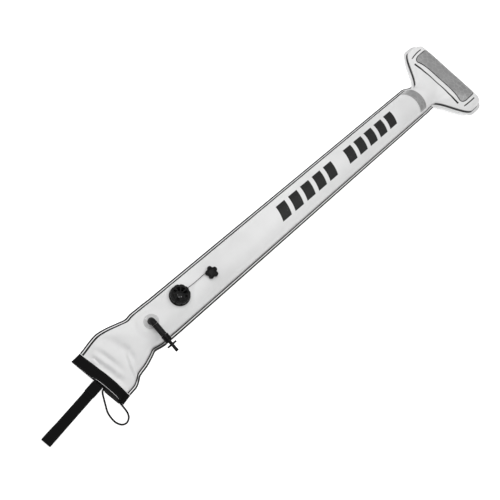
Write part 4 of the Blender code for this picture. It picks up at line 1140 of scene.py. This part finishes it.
pull = {"diameter": 0.0014, "sides": 12, "spacing": 0.0015,
        "route": [(0.0103, 0.0, 0.00935), (0.0115, 0.0, 0.0102), (0.0133, 0.0, 0.0110), (0.0165, 0.0, 0.0114),
                  (0.0200, 0.0, 0.0115), (0.0270, 0.0, 0.0115), (0.0330, 0.0001, 0.0098),
                  (0.0400, 0.0003, 0.0066), (0.0480, 0.0005, 0.0045), (0.0580, 0.0007, 0.0040),
                  (0.0680, 0.0008, 0.0044), (0.0765, 0.0008, 0.0056), (0.084491, 0.00055, 0.0076),
                  (0.0860, -0.0003, 0.0077)]}


def buildPullCord(knobPiece):
    piece, points = routed("pullCord", pull, valveFrame, pullCord, "pull_cord", "pull")
    pathLength(points)


buildRing()
buildCap()
buildPullCord(buildKnob())
print("valve built")


# Inflator: grey disc, elbow, hose, collar and nozzle

inflatorFrame = (Matrix.Translation(Vector((inflator["x"], inflator["y"], inflator["z"])) + toWorld)
                 @ Matrix.Rotation(-inflator["tilt"], 4, "Y"))
fittingFrame = inflatorFrame @ Matrix.Rotation(inflator["turn"], 4, "Z")
flange = {"thickness": 0.002, "shoulder": (0.0012, 0.0010), "corner": 0.0005,
          "groove": [(0.0118, 0.0), (0.0124, 0.0004), (0.0134, 0.0004), (0.0140, 0.0)]}
elbow = {"base": 0.0026, "boss": 0.0088, "bossTop": 0.0056, "radius": 0.0076, "rise": 0.0045, "bend": 0.0105,
         "tail": 0.002, "sweep": math.radians(99.0), "bore": 0.0045, "steps": 24, "sides": 48}
hose = {"radius": 0.0075, "bore": 0.0045, "length": 0.0315, "corner": 0.0004, "steps": 10}
collar = {"radius": 0.0091, "length": 0.0195, "bore": 0.0043, "ribs": 5, "pitch": 0.0023, "ribDepth": 0.0006,
          "bevel": (0.0008, 0.0012), "corner": 0.0003}
nozzle = {"radius": 0.0040, "bore": 0.0021, "length": 0.028, "disc": 0.0127, "discThick": 0.0038,
          "setback": 0.0065, "shoulder": 0.0057, "shoulderThick": 0.0020, "socket": 0.0055, "stem": 0.0018,
          "foot": 0.0031, "footTop": -0.0026, "footLow": -0.0040, "corner": 0.0007}


def buildFlange():
    low, edge = gap, inflator["radius"]
    top = low + flange["thickness"]
    inwards, up = flange["shoulder"]
    section = [(edge - inwards, top), (edge, low + up), (edge, low), (elbow["bore"], low),
               (elbow["bore"], top), *((radius, top - drop) for radius, drop in flange["groove"])]
    turned("inflatorDisc", rounded(section, flange["corner"]), inflatorFrame, greyPlastic, "inflator_flange")


# The elbow, and the frame at its outlet
def buildElbow():
    e = elbow
    base, boss, top, radius = e["base"], e["boss"], e["bossTop"], e["radius"]
    path = [(base, boss - 0.0005), (base + 0.0005, boss), (top - 0.0006, boss), (top - 0.0001, boss - 0.0006),
            (top, radius + 0.0008), (top + 0.0005, radius + 0.0002), (top + 0.0012, radius)]
    points = [Vector((0.0, 0.0, z)) for z, wide in path]
    radii = [wide for z, wide in path]
    for angle in spaced(0.0, e["sweep"], e["steps"]):
        out = e["bend"] * (math.cos(angle) - 1.0)
        points.append(Vector((0.0, out, top + e["rise"] + e["bend"] * math.sin(angle))))
        radii.append(radius)
    heading = Vector((0.0, -math.sin(e["sweep"]), math.cos(e["sweep"])))
    outlet = points[-1] + heading * e["tail"]
    points += [points[-1] + heading * (e["tail"] - 0.0005), outlet]
    radii += [radius, radius - 0.0004]
    bm = moved(tubeAlong(points, radii, e["sides"]), fittingFrame)
    addPiece("inflatorElbow", bm, blackRubber, ["inflator_elbow"])
    return fittingFrame @ Matrix.Translation(outlet) @ Matrix.Rotation(e["sweep"], 4, "X")


def buildHose(base):
    h = hose
    low, top = gap, gap + h["length"]
    outside = [(h["radius"], z) for z in spaced(top, low, h["steps"])]
    section = rounded([*outside, (h["bore"], low), (h["bore"], top)], h["corner"], 3)
    turned("inflatorHose", section, base, blackRubber, "inflator_hose")


def buildCollar(base):
    c = collar
    radius, length = c["radius"], c["length"]
    root = radius - c["ribDepth"]
    inwards, down = c["bevel"]
    outside = [(radius - inwards, length), (radius, length - down)]
    start = length / 2 + c["pitch"] * c["ribs"] / 2
    for rib in range(c["ribs"]):
        z = start - rib * c["pitch"]
        outside += [(radius, z), (root, z - 0.0004), (root, z - 0.0009), (radius, z - 0.0013)]
    outside += [(radius, down), (radius - inwards, 0.0)]
    section = rounded([*outside, (c["bore"], 0.0), (c["bore"], length)], c["corner"], 3)
    turned("inflatorCollar", section, base, blackPlastic, "inflator_collar")


def buildNozzle(base):
    n, radius = nozzle, nozzle["radius"]
    tip = collar["length"] + n["length"]
    discLow = collar["length"] + n["setback"]
    discTop = discLow + n["discThick"]
    shoulderTop = collar["length"] - n["socket"] - gap
    shoulderLow = shoulderTop - n["shoulderThick"]
    section = [(0.0, discLow), (n["bore"], discLow), (n["bore"], tip), (radius - 0.0008, tip),
               (radius, tip - 0.0016), (radius, tip - 0.0040), (radius - 0.0002, tip - 0.0046),
               (radius - 0.0002, discTop + 0.0012), (radius, discTop), (n["disc"], discTop),
               (n["disc"], discLow), (radius, discLow), (radius, shoulderTop), (n["shoulder"], shoulderTop),
               (n["shoulder"], shoulderLow), (n["stem"], shoulderLow), (n["stem"], n["footTop"]),
               (n["foot"], n["footTop"]), (n["foot"], n["footLow"]), (0.0, n["footLow"])]
    section = rounded(section, n["corner"], closed=False)
    turned("inflatorNozzle", section, base, blackPlastic, "inflator_nozzle", "nozzle",
           closed=False)


buildFlange()
hoseFrame = buildElbow()
buildHose(hoseFrame)
collarFrame = hoseFrame @ Matrix.Translation((0.0, 0.0, hose["length"] + 2 * gap))
buildCollar(collarFrame)
buildNozzle(collarFrame)
print("inflator built")


# Materials of the inner CAD pieces

innerFinish = {"valve_base": blackPlastic, "valve_gasket": blackRubber, "valve_poppet": blackPlastic,
               "poppet_seal": blackRubber, "valve_spring": springWire, "nozzle_seal": blackRubber,
               "nozzle_spring": springWire, "nozzle_o_ring": blackRubber}
for node, finish in innerFinish.items():
    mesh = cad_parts[node].data
    mesh.materials.clear()
    mesh.materials.append(finish)

# Springs get their own mesh copies; each is listed with its joint's axis and travel
springs = {"valve_spring": ("poppet_lift", Vector((0.0, 0.0, 1.0)), 0.004),
           "nozzle_spring": ("nozzle_push", Vector((0.00447, 0.98725, 0.15909)), 0.0035)}
for node, (joint, axis, travel) in springs.items():
    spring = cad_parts[node]
    heights = [axis.dot(spring.matrix_world @ vertex.co) for vertex in spring.data.vertices]
    low, high = min(heights), max(heights)
    axis * high
    1.0 - travel / (high - low)
    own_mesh(spring)


# Pale floor and soft light

stage = {"floorSize": 14.0, "floorDrop": 0.0004, "world": 0.35,
         "lights": [("key", (-0.9, 2.6, 2.4), 2.2, 24.0), ("top", (0.0, -0.4, 4.0), 5.0, 124.0)]}


def buildStage():
    bm = bmesh.new()
    bmesh.ops.create_grid(bm, x_segments=8, y_segments=8, size=stage["floorSize"] / 2)
    bmesh.ops.translate(bm, verts=bm.verts, vec=(0.0, 0.0, -stage["floorDrop"]))
    newObject("floor", bm, floorFinish())
    for name, spot, size, power in stage["lights"]:
        light = bpy.data.lights.new(name, "AREA")
        light.shape = "DISK"
        light.size = size
        light.energy = power
        lamp = bpy.data.objects.new(name, light)
        lamp.location = spot
        lamp.rotation_euler = (-Vector(spot)).to_track_quat("-Z", "Y").to_euler()
        scene.collection.objects.link(lamp)
    world = bpy.data.worlds.new("studio")
    world.use_nodes = True
    background = world.node_tree.nodes["Background"]
    background.inputs["Color"].default_value = grey(1.0)
    background.inputs["Strength"].default_value = stage["world"]
    scene.world = world
    scene.view_settings.view_transform = "Standard"


buildStage()
